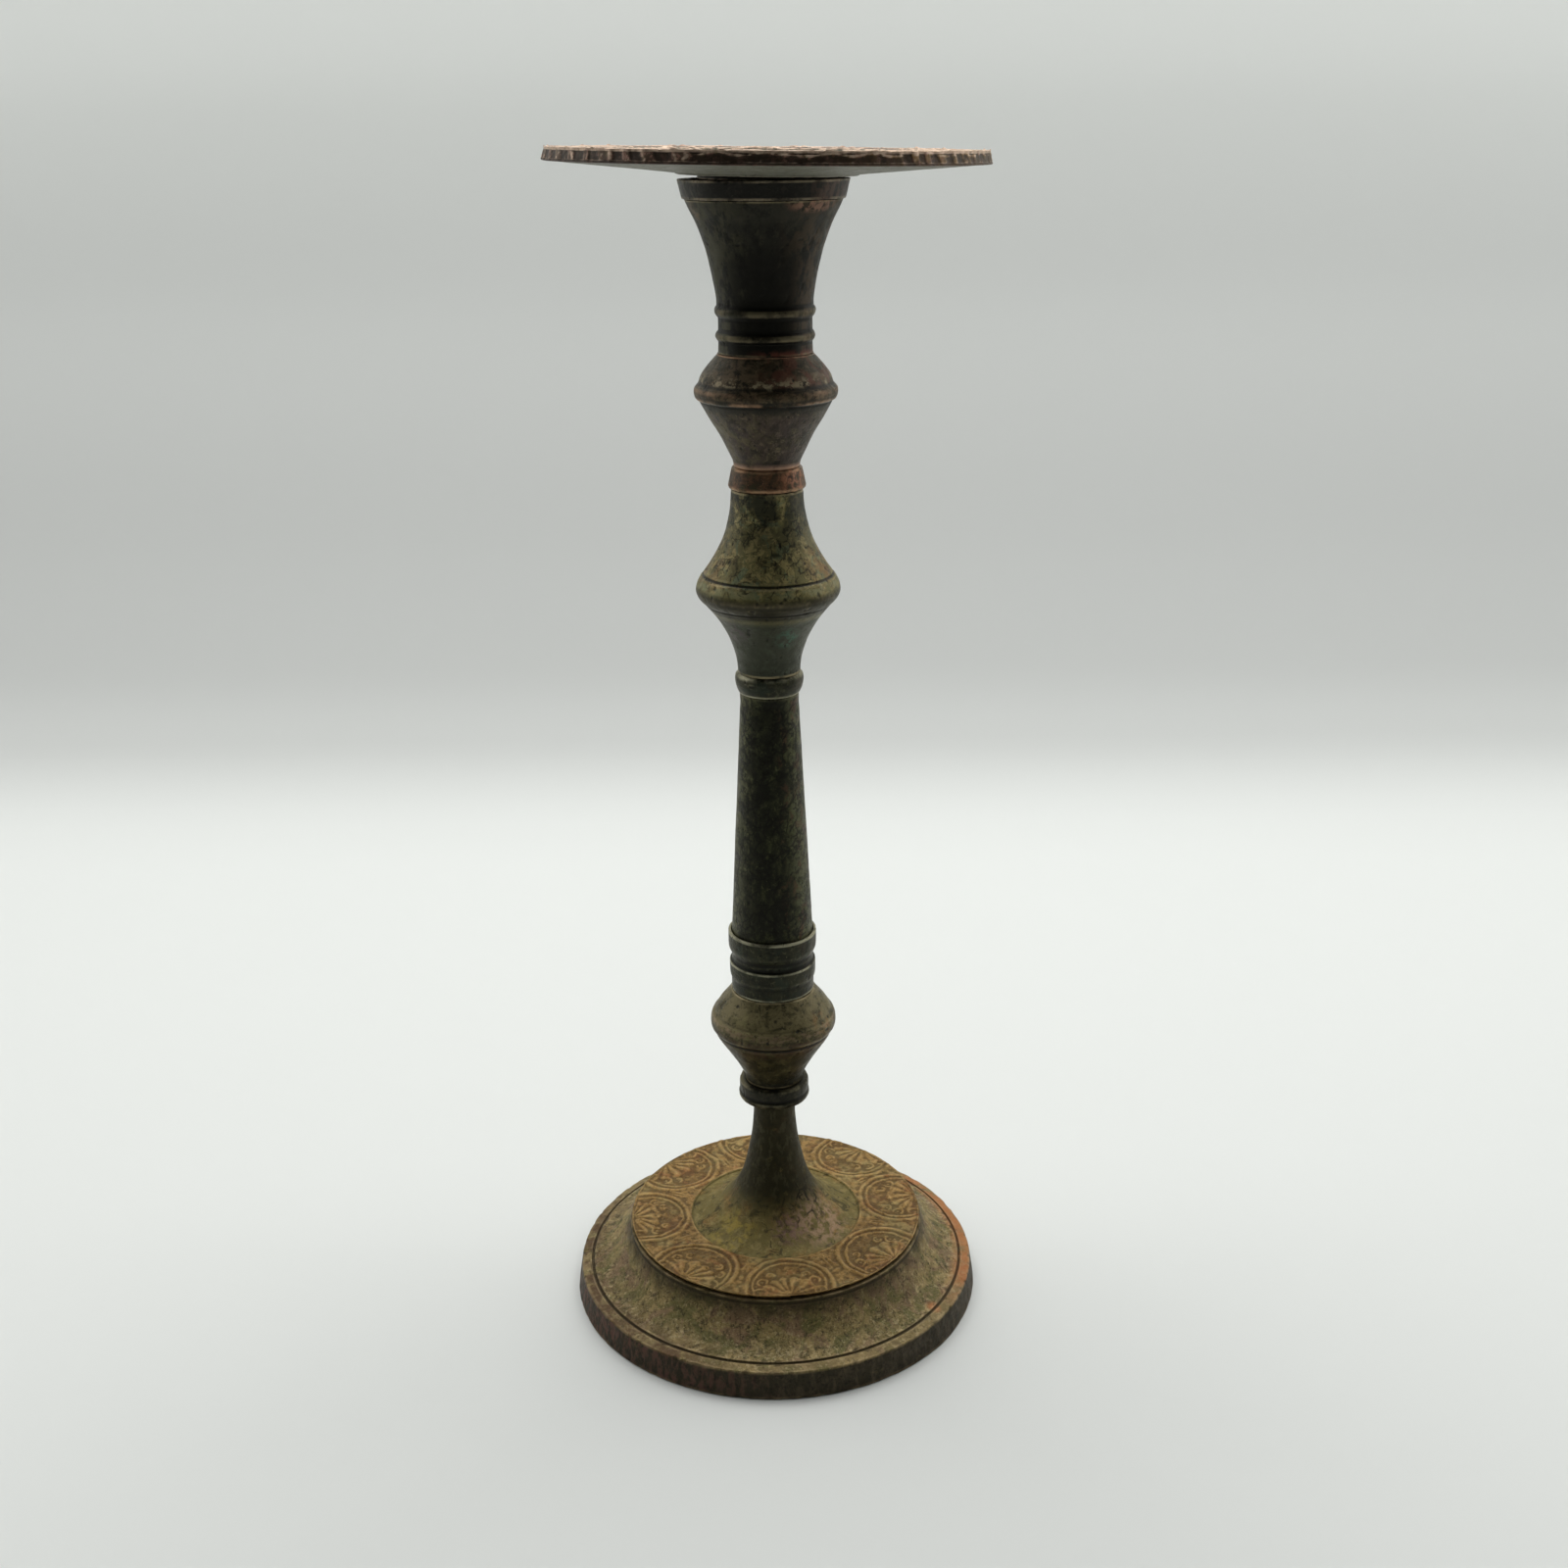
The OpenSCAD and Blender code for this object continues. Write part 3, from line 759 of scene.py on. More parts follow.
def relief_bronze():
    """The disc: ochre relief, an olive dish, and a stem that darkens upwards."""
    disc = foot_of("medallion_disc")
    f = old_bronze("relief_bronze", (128, 98, 54), (148, 117, 68), (174, 144, 92), big=7, small=2.0)
    f.tint((138, 84, 54), f.clouds(0.54, 0.64, 8, detail=5, rough=0.65, warp=0.6), 0.4)
    f.tint((58, 42, 24), f.clouds(0.53, 0.6, 1.6, detail=6, rough=0.8, warp=0.6), 0.65)
    f.tint((176, 148, 98), f.clouds(0.56, 0.63, 1.2, detail=5, rough=0.78), 0.4)
    f.tint((150, 92, 66), f.both(f.side(-8, 0.35), f.far_out(48, 56), f.clouds(0.4, 0.54, 5, detail=5)), 0.6)
    f.tint((140, 132, 88), f.both(f.ramp(f.attribute("zone"), 0.4, 0.6),
                                  f.clouds(0.5, 0.62, 10, detail=5, rough=0.65)), 0.4)
    dish = f.ramp(f.attribute("zone"), 0.6, 0.4)
    f.tint((106, 97, 56), f.both(dish, f.clouds(0.3, 0.5, 9, detail=5, rough=0.65, warp=0.6)), 0.9)
    f.tint((144, 128, 82), f.both(dish, f.clouds(0.5, 0.62, 3, detail=6, rough=0.7, warp=0.4)), 0.6)
    f.tint((50, 46, 27), f.both(dish, f.clouds(0.53, 0.59, 4.5, detail=7, rough=0.75, warp=0.9)), 0.75)
    f.patch((160, 140, 66), (-16, -18, disc + 6.9), 12, 0.7, size=3)
    f.patch((176, 144, 118), (15, -13, disc + 8.4), 15, 0.7, size=2.4)
    f.patch((140, 108, 100), (5, -19, disc + 8.4), 9, 0.6, size=2.0)
    climb = f.height(disc + 8.4, disc + 20.4)
    f.tint((90, 86, 58), f.both(climb, f.side(190, 0.8), f.clouds(0.4, 0.54, 4, detail=6, rough=0.7)), 0.6)
    f.tint((40, 38, 25), f.both(climb, f.clouds(0.22, 0.42, 5, detail=5, rough=0.65, warp=0.5)), 0.92)
    f.tint((74, 70, 50), f.both(climb, f.clouds(0.52, 0.6, 2.6, (1, 1, 0.5), detail=6, rough=0.72)), 0.65)
    web = f.both(f.cracks(4.6, 0.5, (1, 1, 0.6)), f.near((13, -13, disc + 15.4), 16),
                 f.clouds(0.44, 0.52, 6, detail=3))
    f.tint((16, 15, 10), f.both(web, dish, f.height(disc + 7.4, disc + 9.4)), 0.9)
    aged(f, (66, 49, 27), (170, 142, 94), hollow=0.62, wear=0.55, spread=4)
    return f.done(rough=(0.45, 0.66), metal=0.12, bump=0.28, specular=0.15)


def dark_bronze():
    """The lower collar, nearly black, its lips worn pale, partly painted highlights."""
    f = old_bronze("dark_bronze", (22, 22, 15), (36, 35, 24), (60, 58, 42), small=1.8)
    aged(f, (6, 6, 5), (140, 132, 104), wear=0.5, spread=8)
    return f.done(rough=(0.34, 0.54), lines=0.3, specular=0.25)


def olive_bronze():
    """The lower knop's olive with a painted highlight and painted shade at its bead, and the bell's ochre with
    its black web, painted shade under its belly and a painted highlight along its rim.
    """
    bell = foot_of("bell_knop")
    knop = foot_of("lower_knop")
    f = old_bronze("olive_bronze", (52, 48, 28), (74, 68, 42), (110, 100, 68), big=7)
    shoulder = f.both(f.height(knop + 24, knop + 27), f.height(bell - 5, bell - 35))
    f.tint((118, 108, 76), f.both(shoulder,
                                  f.clouds(0.38, 0.54, 6, (1, 1, 1.4), detail=6, rough=0.7, warp=0.6)), 0.8)
    f.tint((34, 30, 18), f.both(shoulder, f.clouds(0.56, 0.62, 3.2, detail=6, rough=0.75, warp=0.6)), 0.8)
    f.tint((66, 40, 30), f.both(f.height(knop + 15, knop + 18), f.height(knop + 24.5, knop + 23),
                                f.clouds(0.36, 0.54, 4, detail=5)), 0.6)
    f.tint((28, 27, 16), f.both(f.height(knop + 20, knop + 15),
                                f.clouds(0.4, 0.56, 5, (1, 1, 0.4), detail=6)), 0.85)
    # Painted highlight: a light band along the bead.
    bead = f.both(f.height(knop + 24.2, knop + 25), f.height(knop + 27.1, knop + 26.6))
    f.tint((140, 118, 94), f.both(bead, f.clouds(0.44, 0.56, 4, (1, 1, 2), detail=6, rough=0.7)), 0.55)
    # Painted shade: a near-black band under the bead.
    f.tint((14, 13, 9), f.both(f.height(knop + 20, knop + 21.2), f.height(knop + 23.2, knop + 22.4),
                               f.clouds(0.3, 0.46, 5, (1, 1, 2), detail=5)), 0.8)
    f.patch((140, 98, 54), (17, -12, knop + 27), 6, 0.45, size=2.4, low=0.48, high=0.6)
    f.patch((132, 124, 84), (-9, -18, knop + 29), 9, 0.55, size=2.4)
    skin = f.both(f.height(bell - 5, bell + 1),
                  f.clouds(0.3, 0.5, 8, (1, 1, 0.6), detail=6, rough=0.66, warp=0.6))
    f.tint((118, 111, 72), skin, 0.95)
    upper = f.height(bell + 27, bell + 32)
    f.tint((170, 154, 104), f.both(upper, f.clouds(0.49, 0.57, 4.5, detail=7, rough=0.76, warp=0.9)), 0.75)
    f.tint((104, 118, 92), f.both(upper, f.clouds(0.53, 0.6, 6, detail=6, rough=0.7, warp=0.9)), 0.6)
    f.tint((48, 45, 27), f.both(upper, f.clouds(0.57, 0.62, 5.2, detail=7, rough=0.76, warp=0.9)), 0.7)
    edge = f.both(f.height(bell + 29, bell + 33), f.height(bell + 49, bell + 37))
    f.tint((140, 98, 58), f.both(edge, f.side(2, 0.5), f.clouds(0.42, 0.56, 4, detail=5)), 0.55)
    f.tint((128, 96, 62), f.both(edge, f.side(182, 0.45), f.clouds(0.42, 0.56, 4, detail=5)), 0.5)
    f.tint((26, 30, 27), f.both(f.height(bell + 37, bell + 57),
                                f.clouds(0.34, 0.52, 6, (1, 1, 0.6), detail=6, rough=0.7)), 0.85)
    # Painted shade: a near-black band under the bell's belly.
    belly = f.both(f.height(bell + 20.5, bell + 22.5), f.height(bell + 30.6, bell + 27.8))
    f.tint((14, 14, 9), f.both(belly, f.clouds(0.2, 0.42, 4, (1, 1, 2), detail=6, rough=0.7)), 0.92)
    # Painted highlight: a pale band along the belly's rim.
    rimlit = f.both(f.height(bell + 29.4, bell + 30.2), f.height(bell + 32.4, bell + 31.6))
    f.tint((132, 132, 98), f.both(rimlit, f.clouds(0.4, 0.56, 5, (1, 1, 2), detail=5)), 0.6)
    f.tint((44, 49, 41), f.both(f.height(bell - 5, bell + 1), f.height(bell + 23, bell + 19),
                                f.clouds(0.12, 0.36, 6, detail=5)), 0.93)
    f.tint((66, 72, 58), f.both(f.height(bell - 5, bell + 1), f.height(bell + 23, bell + 19),
                                f.clouds(0.52, 0.6, 2.4, detail=6, rough=0.72)), 0.5)
    f.patch((70, 112, 92), (6, -12, bell + 15), 5.5, 0.5, size=1.8)
    f.patch((84, 66, 76), (-11, -10, bell + 17), 8, 0.4, size=3)
    web = f.both(f.cracks(3.6, 0.34), f.clouds(0.46, 0.54, 6, detail=3))
    f.tint((14, 14, 10), f.both(web, upper), 0.8)
    f.tint((14, 14, 10), f.clouds(0.6, 0.66, 1.3, detail=4, rough=0.7), 0.7)
    aged(f, (9, 9, 6), (176, 160, 124), wear=0.6, spread=9)
    return f.done(rough=(0.34, 0.56), bump=0.2, lines=0.3, specular=0.24)


def teal_bronze():
    """The ferrule and the neck ring: dark green with thin bright lips."""
    f = old_bronze("teal_bronze", (28, 29, 20), (42, 43, 29), (76, 76, 55), big=6, small=1.8)
    f.tint((34, 44, 36), f.clouds(0.5, 0.62, 5, detail=5), 0.6)
    f.tint((58, 50, 36), f.both(f.side(0, 0.7), f.clouds(0.48, 0.6, 4, detail=5)), 0.5)
    aged(f, (6, 7, 5), (170, 166, 140), wear=0.7, spread=9)
    return f.done(rough=(0.32, 0.52), bump=0.16, lines=0.4, specular=0.22)


def shaft_bronze():
    """The shaft: near-black in front, a painted shade, and paler and mottled at the left and right, a painted
    sheen, with a black web over it.
    """
    f = old_bronze("shaft_bronze", (30, 32, 18), (56, 59, 35), (96, 98, 64), stretch=(1, 1, 0.8), big=8,
                   small=2.2)
    # Painted sheen: paler mottling at the left and right of the shaft.
    side_sheen = f.math("MAXIMUM", f.side(180, 0.72), f.side(0, 0.78))
    f.tint((92, 92, 64), f.both(side_sheen,
                                f.clouds(0.44, 0.56, 4.5, (1, 1, 0.7), detail=7, rough=0.76, warp=0.8)), 0.7)
    # Painted shade: near-black on the front of the shaft.
    f.tint((14, 15, 10), f.both(f.side(-100, 0.5),
                                f.clouds(0.38, 0.54, 8, (1, 1, 0.6), detail=6, rough=0.7, warp=0.5)), 0.75)
    f.tint((78, 54, 38), f.both(f.side(-25, 0.5), f.clouds(0.54, 0.62, 4, (1, 1, 0.7), detail=5)), 0.6)
    f.tint((14, 14, 9), f.clouds(0.56, 0.6, 2.6, detail=6, rough=0.78, warp=1.2), 0.8)
    web = f.both(f.cracks(3.4, 0.55, (1, 1, 0.9)), f.clouds(0.44, 0.52, 7, detail=3))
    f.tint((9, 9, 6), web, 0.85)
    aged(f, (8, 9, 6), (110, 108, 82), wear=0.5)
    return f.done(rough=(0.34, 0.56), bump=0.2, lines=0.2, specular=0.2)


def copper_bronze():
    """The upper collar: brown with a coppery place at the right."""
    collar = foot_of("upper_collar")
    f = old_bronze("copper_bronze", (66, 50, 36), (98, 68, 46), (146, 104, 76), big=5, small=1.8)
    f.patch((196, 132, 100), (9, -8, collar + 5), 8, 0.5, size=1.8)
    f.tint((56, 58, 36), f.clouds(0.52, 0.62, 4, detail=5), 0.6)
    aged(f, (18, 13, 9), (190, 150, 116), wear=0.5)
    return f.done(rough=(0.38, 0.58), lines=0.2, specular=0.35)


def brown_bronze():
    """The upper knop: a dark shoulder with worn cream spots, a streaky purple-brown cone."""
    knop = foot_of("upper_knop")
    f = old_bronze("brown_bronze", (36, 31, 23), (62, 54, 40), (108, 96, 74), big=6)
    cone = f.height(knop + 19.9, knop + 15.9)
    f.tint((62, 50, 46), f.both(cone, f.clouds(0.42, 0.56, 4, (1, 1, 0.5), detail=6, rough=0.7)), 0.8)
    f.tint((92, 78, 68), f.both(cone, f.clouds(0.53, 0.61, 2.6, (1, 1, 0.6), detail=6, rough=0.74)), 0.6)
    f.tint((90, 82, 54), f.both(cone, f.side(200, 0.7), f.clouds(0.44, 0.58, 4, detail=5)), 0.6)
    f.tint((30, 26, 22), f.both(cone, f.clouds(0.55, 0.62, 5, (1, 1, 0.6), detail=6, rough=0.7)), 0.7)
    # Painted shade: a near-black band under the bead of the shoulder.
    f.tint((20, 20, 15), f.both(f.height(knop + 17.9, knop + 19.9), f.height(knop + 23.1, knop + 22.3),
                                f.clouds(0.25, 0.45, 5, detail=4)), 0.85)
    f.tint((104, 88, 68), f.both(f.height(knop + 22.5, knop + 23.5),
                                 f.clouds(0.47, 0.57, 5, (1, 1, 1.4), detail=6, rough=0.72, warp=0.5)), 0.7)
    f.tint((110, 66, 54), f.both(f.height(knop + 24.9, knop + 28.9), f.side(-30, 0.8),
                                 f.clouds(0.42, 0.56, 5, detail=6, warp=0.5)), 0.6)
    f.tint((168, 154, 126), f.both(f.height(knop + 25.5, knop + 26.9), f.height(knop + 30.9, knop + 27.5),
                                   f.clouds(0.51, 0.58, 5, (1, 1, 1.6), detail=7, rough=0.75)), 0.75)
    f.tint((176, 140, 118), f.both(f.height(knop + 2.3, knop + 0.9), f.clouds(0.3, 0.55, 5, detail=4)), 0.7)
    aged(f, (9, 8, 6), (170, 134, 106), wear=0.7, spread=10)
    return f.done(rough=(0.34, 0.54), bump=0.2, lines=0.35, specular=0.26)


def cup_bronze():
    """The cup: nearly black in front, a painted shade, paler at left and right, painted highlights, and coppery
    in one place under the band.
    """
    cup = foot_of("candle_cup")
    f = old_bronze("cup_bronze", (13, 13, 10), (24, 24, 18), (46, 44, 32), stretch=(1, 1, 0.6), big=8)
    # Painted highlights: paler tints at the left and right of the cup.
    f.tint((70, 56, 40), f.both(f.side(0, 0.9), f.clouds(0.42, 0.56, 4, (1, 1, 0.5), detail=6, rough=0.7)),
           0.75)
    f.tint((66, 64, 46), f.both(f.side(185, 0.85), f.clouds(0.42, 0.56, 4, (1, 1, 0.5), detail=6, rough=0.7)),
           0.75)
    f.tint((46, 44, 36), f.both(f.height(cup + 29.6, cup + 45.6),
                                f.clouds(0.4, 0.56, 4, detail=6, rough=0.7)), 0.65)
    # Painted shade: near-black on the lower front of the cup.
    f.tint((7, 7, 6), f.both(f.side(-92, 0.42), f.height(cup + 37.6, cup + 25.6),
                             f.clouds(0.2, 0.44, 7, detail=5)), 0.85)
    f.patch((140, 104, 86), (15.2, -17.2, cup + 44.6), 12, 0.75, size=2.2, low=0.42, high=0.54,
            squash=(1, 1, 4.2))
    f.patch((112, 92, 68), (-21, -9, cup + 42.6), 4, 0.6, size=2.0, squash=(1, 1, 0.7))
    f.tint((118, 66, 52), f.both(f.height(cup + 2.6, cup + 0.2), f.side(-35, 0.9),
                                 f.clouds(0.4, 0.55, 4, detail=4)), 0.65)
    aged(f, (6, 6, 4), (150, 138, 108), wear=0.4, spread=8)
    return f.done(rough=(0.36, 0.56), metal=0.15, lines=0.35, specular=0.16)


def black_bronze():
    """The band round the cup's mouth."""
    f = old_bronze("black_bronze", (10, 10, 9), (17, 17, 15), (36, 31, 27))
    # Painted highlights: lighter tints near the left and right of the band.
    f.tint((78, 58, 48), f.both(f.side(-18, 0.3), f.clouds(0.44, 0.58, 2.6, (1, 1, 0.5), detail=5)), 0.7)
    f.tint((66, 62, 52), f.both(f.side(-170, 0.3), f.clouds(0.46, 0.6, 2.6, (1, 1, 0.5), detail=5)), 0.6)
    aged(f, (4, 4, 3), (160, 146, 122), wear=0.4, spread=9)
    return f.done(rough=(0.3, 0.46), metal=0.15, lines=0.2, specular=0.2)


def pan_bronze():
    """The pan: grey-green, and a brown rim with its high places worn pink and cream, partly painted highlights.
    """
    f = old_bronze("pan_bronze", (96, 95, 84), (110, 109, 96), (132, 130, 116), big=9, small=2.2)
    rim = f.attribute("zone")
    f.tint((78, 58, 45), f.both(rim, f.clouds(0.22, 0.42, 6, detail=5, rough=0.65)), 0.95)
    f.tint((146, 114, 74), f.both(rim, f.side(-22, 0.5), f.clouds(0.34, 0.5, 4, detail=5)), 0.9)
    f.tint((96, 84, 56), f.both(rim, f.clouds(0.54, 0.62, 5, detail=5)), 0.5)
    f.tint((158, 118, 104), f.both(rim, f.clouds(0.5, 0.58, 2.0, detail=5, rough=0.72)), 0.65)
    aged(f, (38, 26, 19), (222, 196, 172), hollow=0.82, wear=0.95, spread=2.4)
    # Painted highlight over the wear on the rim's high places.
    f.tint((206, 178, 158), f.both(rim, f.ramp(f.attribute("wear"), 0.55, 0.9)), 0.5)
    return f.done(rough=(0.4, 0.6), metal=0.12, bump=0.12, specular=0.3)


def socket_brass():
    """The candle socket."""
    f = old_bronze("socket_brass", (120, 98, 58), (142, 118, 74), (170, 148, 100))
    aged(f, (60, 46, 26), (200, 178, 128))
    return f.done(rough=(0.3, 0.5), metal=0.7, bump=0.05, lines=0.5)


def rod_steel():
    """The tie rod and its washers."""
    f = old_bronze("rod_steel", (74, 68, 62), (92, 84, 76), (120, 112, 104))
    aged(f, (40, 28, 20), (150, 146, 140))
    return f.done(rough=(0.35, 0.6), metal=0.7, bump=0.05)


def nut_steel():
    """The nuts."""
    f = old_bronze("nut_steel", (70, 62, 54), (90, 80, 68), (118, 104, 90))
    aged(f, (44, 28, 18), (150, 144, 134))
    return f.done(rough=(0.38, 0.62), metal=0.6, bump=0.07)


def plate_iron():
    """The clamp plate."""
    f = old_bronze("plate_iron", (58, 48, 42), (84, 62, 46), (104, 90, 78))
    aged(f, (36, 24, 18), (140, 130, 120))
    return f.done(rough=(0.45, 0.7), metal=0.5, bump=0.12)


# ---------------------------------------------------------------- the pieces

materials = {make.__name__: make() for make in (
    foot_bronze, relief_bronze, dark_bronze, olive_bronze, teal_bronze, shaft_bronze, copper_bronze,
    brown_bronze, cup_bronze, black_bronze, pan_bronze, socket_brass, rod_steel, nut_steel, plate_iron)}


def turned_piece(node, slot, seed, worn=None, **settings):
    """A turned CAD node of the stand, made again with worn edges, dents and tool marks."""
    def surface(v):
        along = v["z"] * np.abs(v["nr"]) + v["r"] * np.abs(v["nz"])
        marks = TOOL_LINES * (noise(np.stack([0 * along, 0 * along, along], 1), 0.9, seed + 9) - 1)
        return cast(v, seed, **(worn or {})) + np.where(v["count"] > HIDDEN_COUNT, marks, 0)

    return spin(node, "stand", slot, rows_along(section(node), **settings), surface)


def hidden_in_foot(r, z, nr, nz):
    return z > top_of("foot") - 0.05 and nz > 0.9 or nr < -0.3 or nz < -0.6


turned_piece("foot", "foot_bronze", 11, dict(dents=0.09, lumps=0.05, pits=0.0, chips=0.2),
             step=0.7, bevel=0.45, count=720, inner=hidden_in_foot, inner_step=2.5, inner_count=144)
turned_piece("lower_collar", "dark_bronze", 21, inner=bore(11.0))
turned_piece("lower_knop", "olive_bronze", 31, inner=bore(10.2))
turned_piece("shaft_ferrule", "teal_bronze", 41, inner=bore(12.0))
turned_piece("shaft", "shaft_bronze", 51, inner=bore(9.8), step=0.8)
turned_piece("neck_ring", "teal_bronze", 61, inner=bore(9.5))
turned_piece("bell_knop", "olive_bronze", 71, inner=bore(9.5))
turned_piece("upper_collar", "copper_bronze", 81, inner=bore(10.0))
turned_piece("upper_knop", "brown_bronze", 91, inner=bore(10.2))
turned_piece("candle_cup", "cup_bronze", 101, inner=bore(12.0), inner_step=1.5, inner_count=180)
turned_piece("cup_band", "black_bronze", 111, step=0.35)


def make_disc():
    """The disc, with the relief on fine rings outside its smooth dish."""
    points = section("medallion_disc")
    edge_r = points[:, 0].max()
    rim = points[(points[:, 0] > 28) & (points[:, 0] < edge_r - 15)]
    dish_r, field = rim[np.argmax(rim[:, 0])]
    rows = rows_along(points, step=0.9, bevel=0.22, count=240, inner=bore(6.0), inner_count=60)

    def carries_relief(r, z):
        on_field = abs(z - field) < 0.06 and dish_r - 1.5 < r < edge_r
        return on_field or r > edge_r - 1.2 and z > field - 1.4

    rows = rows.refine(carries_relief, RELIEF_STEP, DISC_COUNT)

    def surface(v):
        off = cast(v, 5, pits=0.1, chips=0.1)
        fine = v["count"] == DISC_COUNT
        p, r, flat = v["p"][fine], v["r"][fine], np.clip(v["nz"][fine], 0, 1)
        h = relief(p[:, 0], p[:, 1], DISC_TURNS, 47.3, 3, 0.62)
        h = h * smooth(r, dish_r - 0.6, dish_r + 0.5) * (1 - 0.5 * smooth(r, edge_r - 0.7, edge_r))
        nicks = smooth(noise(p, 1.7, 77), -0.2, 0.8)
        off[fine] = off[fine] * 0.4 + h * flat - 0.2 * (1 - flat) * nicks
        # Raised relief lighter and its hollows darker: partly wear and dirt, partly painted highlight and
        # painted shade.
        v["tone"] = np.zeros(len(off))
        v["tone"][fine] = np.where(flat > 0.5, np.clip((h - 0.12) * 1.3, -0.4, 0.5), 0)
        v["zone"] = smooth(v["r"], dish_r - 0.8, dish_r + 0.8)
        v["groove"] *= 1 - bump(v["r"] - dish_r, 2.4)
        return off

    return spin("medallion_disc", "stand", "relief_bronze", rows, surface, depth=0.2)


def rim_side(p, a, t):
    """The pan rim's upright side: cut ends of the relief, ribs in some places and long waves in others. t runs
    0 to 1 up it."""
    deg = (np.degrees(a) + 180) % 360 - 180
    ribbed = 1 - smooth(deg, -109, -105) * (1 - smooth(deg, -58, -54))
    ribbed = np.where(deg > 0, smooth(np.sin(np.radians(deg) * 5 + 0.9), -0.3, 0.3), ribbed)
    often = np.where(deg < -90, 52, 76)
    ribs = 0.5 + 0.5 * np.cos(np.radians(deg) * often + 1.8 * noise(p, 8, 301) + 0.9 * (t - 0.5))
    ribs = smooth(ribs, 0.25, 0.85) * (0.75 + 0.25 * smooth(t, 0.0, 0.35)) * (0.85 + 0.15 * noise(p, 2.5, 304))
    middle = 0.72 + 0.09 * np.sin(np.radians(deg) * 27 + 1.6 * noise(p, 11, 302))
    wave = bump(t - middle, 0.19) * (0.8 + 0.2 * noise(p, 3, 305))
    top = 0.85 * bump(t - 0.97, 0.13)
    calm = smooth(deg, -58, -50) * (1 - smooth(deg, 2, 8))
    ribs = ribs * (1 - 0.55 * calm) + 0.5 * calm * np.maximum(wave, 0.6 * top)
    h = np.clip(ribs * ribbed + np.maximum(wave, top) * (1 - ribbed) + 0.7 * top * ribbed, 0, 1)
    h = np.clip(h + 0.3 * noise(p, 2.2, 306) + 0.2 * noise(p, 1.0, 307), 0, 1)
    return -0.5 * (1 - h) + 0.05 * (noise(p, 1.2, 303) - 1)


def make_pan():
    """The pan, with the relief on its rim and the cut ends of it on its side."""
    points = section("drip_pan", -70.0, pan_level)
    edge_r = points[:, 0].max()
    rim_top = points[points[:, 0] > edge_r - 2][:, 1].max()
    field = rim_top - 0.5
    inner_r = edge_r - 23.0
    rows = rows_along(points, step=0.9, bevel=0.3, count=216, inner=lambda r, z, nr, nz: nr < -0.5,
                      inner_step=2.0, inner_count=216)

    def carries_relief(r, z):
        on_field = abs(z - field) < 0.06 and inner_r - 0.4 < r < edge_r
        return on_field or r > edge_r - 1.9 and z > rim_top - 4.6

    rows = rows.refine(carries_relief, RELIEF_STEP, PAN_COUNT)

    def surface(v):
        off = cast(v, 205, dents=0.06, pits=0.08, chips=0.05)
        fine = v["count"] == PAN_COUNT
        p, r, z = v["p"][fine], v["r"][fine], v["z"][fine]
        nz, nr = np.clip(v["nz"][fine], 0, 1), np.clip(v["nr"][fine], 0, 1)
        h = relief(p[:, 0], p[:, 1], PAN_TURNS, edge_r - 8.0, 8, 0.46)
        h = h * smooth(r, inner_r - 0.2, inner_r + 0.8)
        side = rim_side(p, v["a"][fine], (z - (rim_top - 3.8)) / 3.8)
        off[fine] = off[fine] * 0.3 + h * nz ** 2 + side * nr ** 2
        # High places of the rim lighter and low places darker: partly wear and dirt, partly painted highlight
        # and painted shade.
        side_tone = np.clip((side + 0.2) * 2.6, -0.6, 0.8)
        top_tone = np.clip((h - 0.12) * 2.0, -0.5, 0.6) * (nz > 0.5)
        v["tone"] = np.zeros(len(off))
        v["tone"][fine] = np.where(nr > 0.5, side_tone, top_tone)
        # Painted shade: a dark line along the bottom edge of the rim's side, with no wear there.
        v["tone"][fine & (v["z"] < rim_top - 3.5)] = -0.6
        v["dull"] = fine * (1 - smooth(v["z"], rim_top - 3.6, rim_top - 2.9))
        v["zone"] = np.where(fine & (v["z"] > rim_top - 4.4), 1.0, 0.0)
        return off

    return spin("drip_pan", "pan", "pan_bronze", rows, surface, lambda co: pan_level(co, back=True), depth=0.2)


def make_socket():
    rows = rows_along(section("candle_socket"), closed=False, step=1.2, bevel=0.2, count=192, inner=nowhere)
    return spin("candle_socket", "socket", "socket_brass", rows,
                lambda v: cast(v, 221, dents=0.02, lumps=0.015, grit=0.005, pits=0.04, chips=0.05))


def thread(v):
    """0 at a thread's root and 1 at its crest, or the other way round inside a nut."""
    return np.abs(2 * ((v["z"] / THREAD_PITCH - v["a"] / (2 * np.pi)) % 1) - 1)


def make_rod():
    """The tie rod, with a thread cut at both ends."""
    points = section("tie_rod")
    low, high = points[:, 1].min(), points[:, 1].max()
    radius = points[:, 0].max()
    rows = rows_along(points, closed=False, step=12.0, bevel=0.1, count=120, inner=nowhere)
    rows = rows.refine(lambda r, z: r > radius - 0.75 and (z < low + 16 or z > high - 16), 0.16, 120)

    def surface(v):
        ends = smooth(np.maximum(low + 15 - v["z"], v["z"] - high + 15), 0, 0.8) * (v["nr"] > 0.3)
        metal = cast(v, 231, dents=0.02, lumps=0.01, grit=0.004, pits=0.03, chips=0.02)
        return metal - ends * 0.55 * thread(v)

    return spin("tie_rod", "stand", "rod_steel", rows, surface)


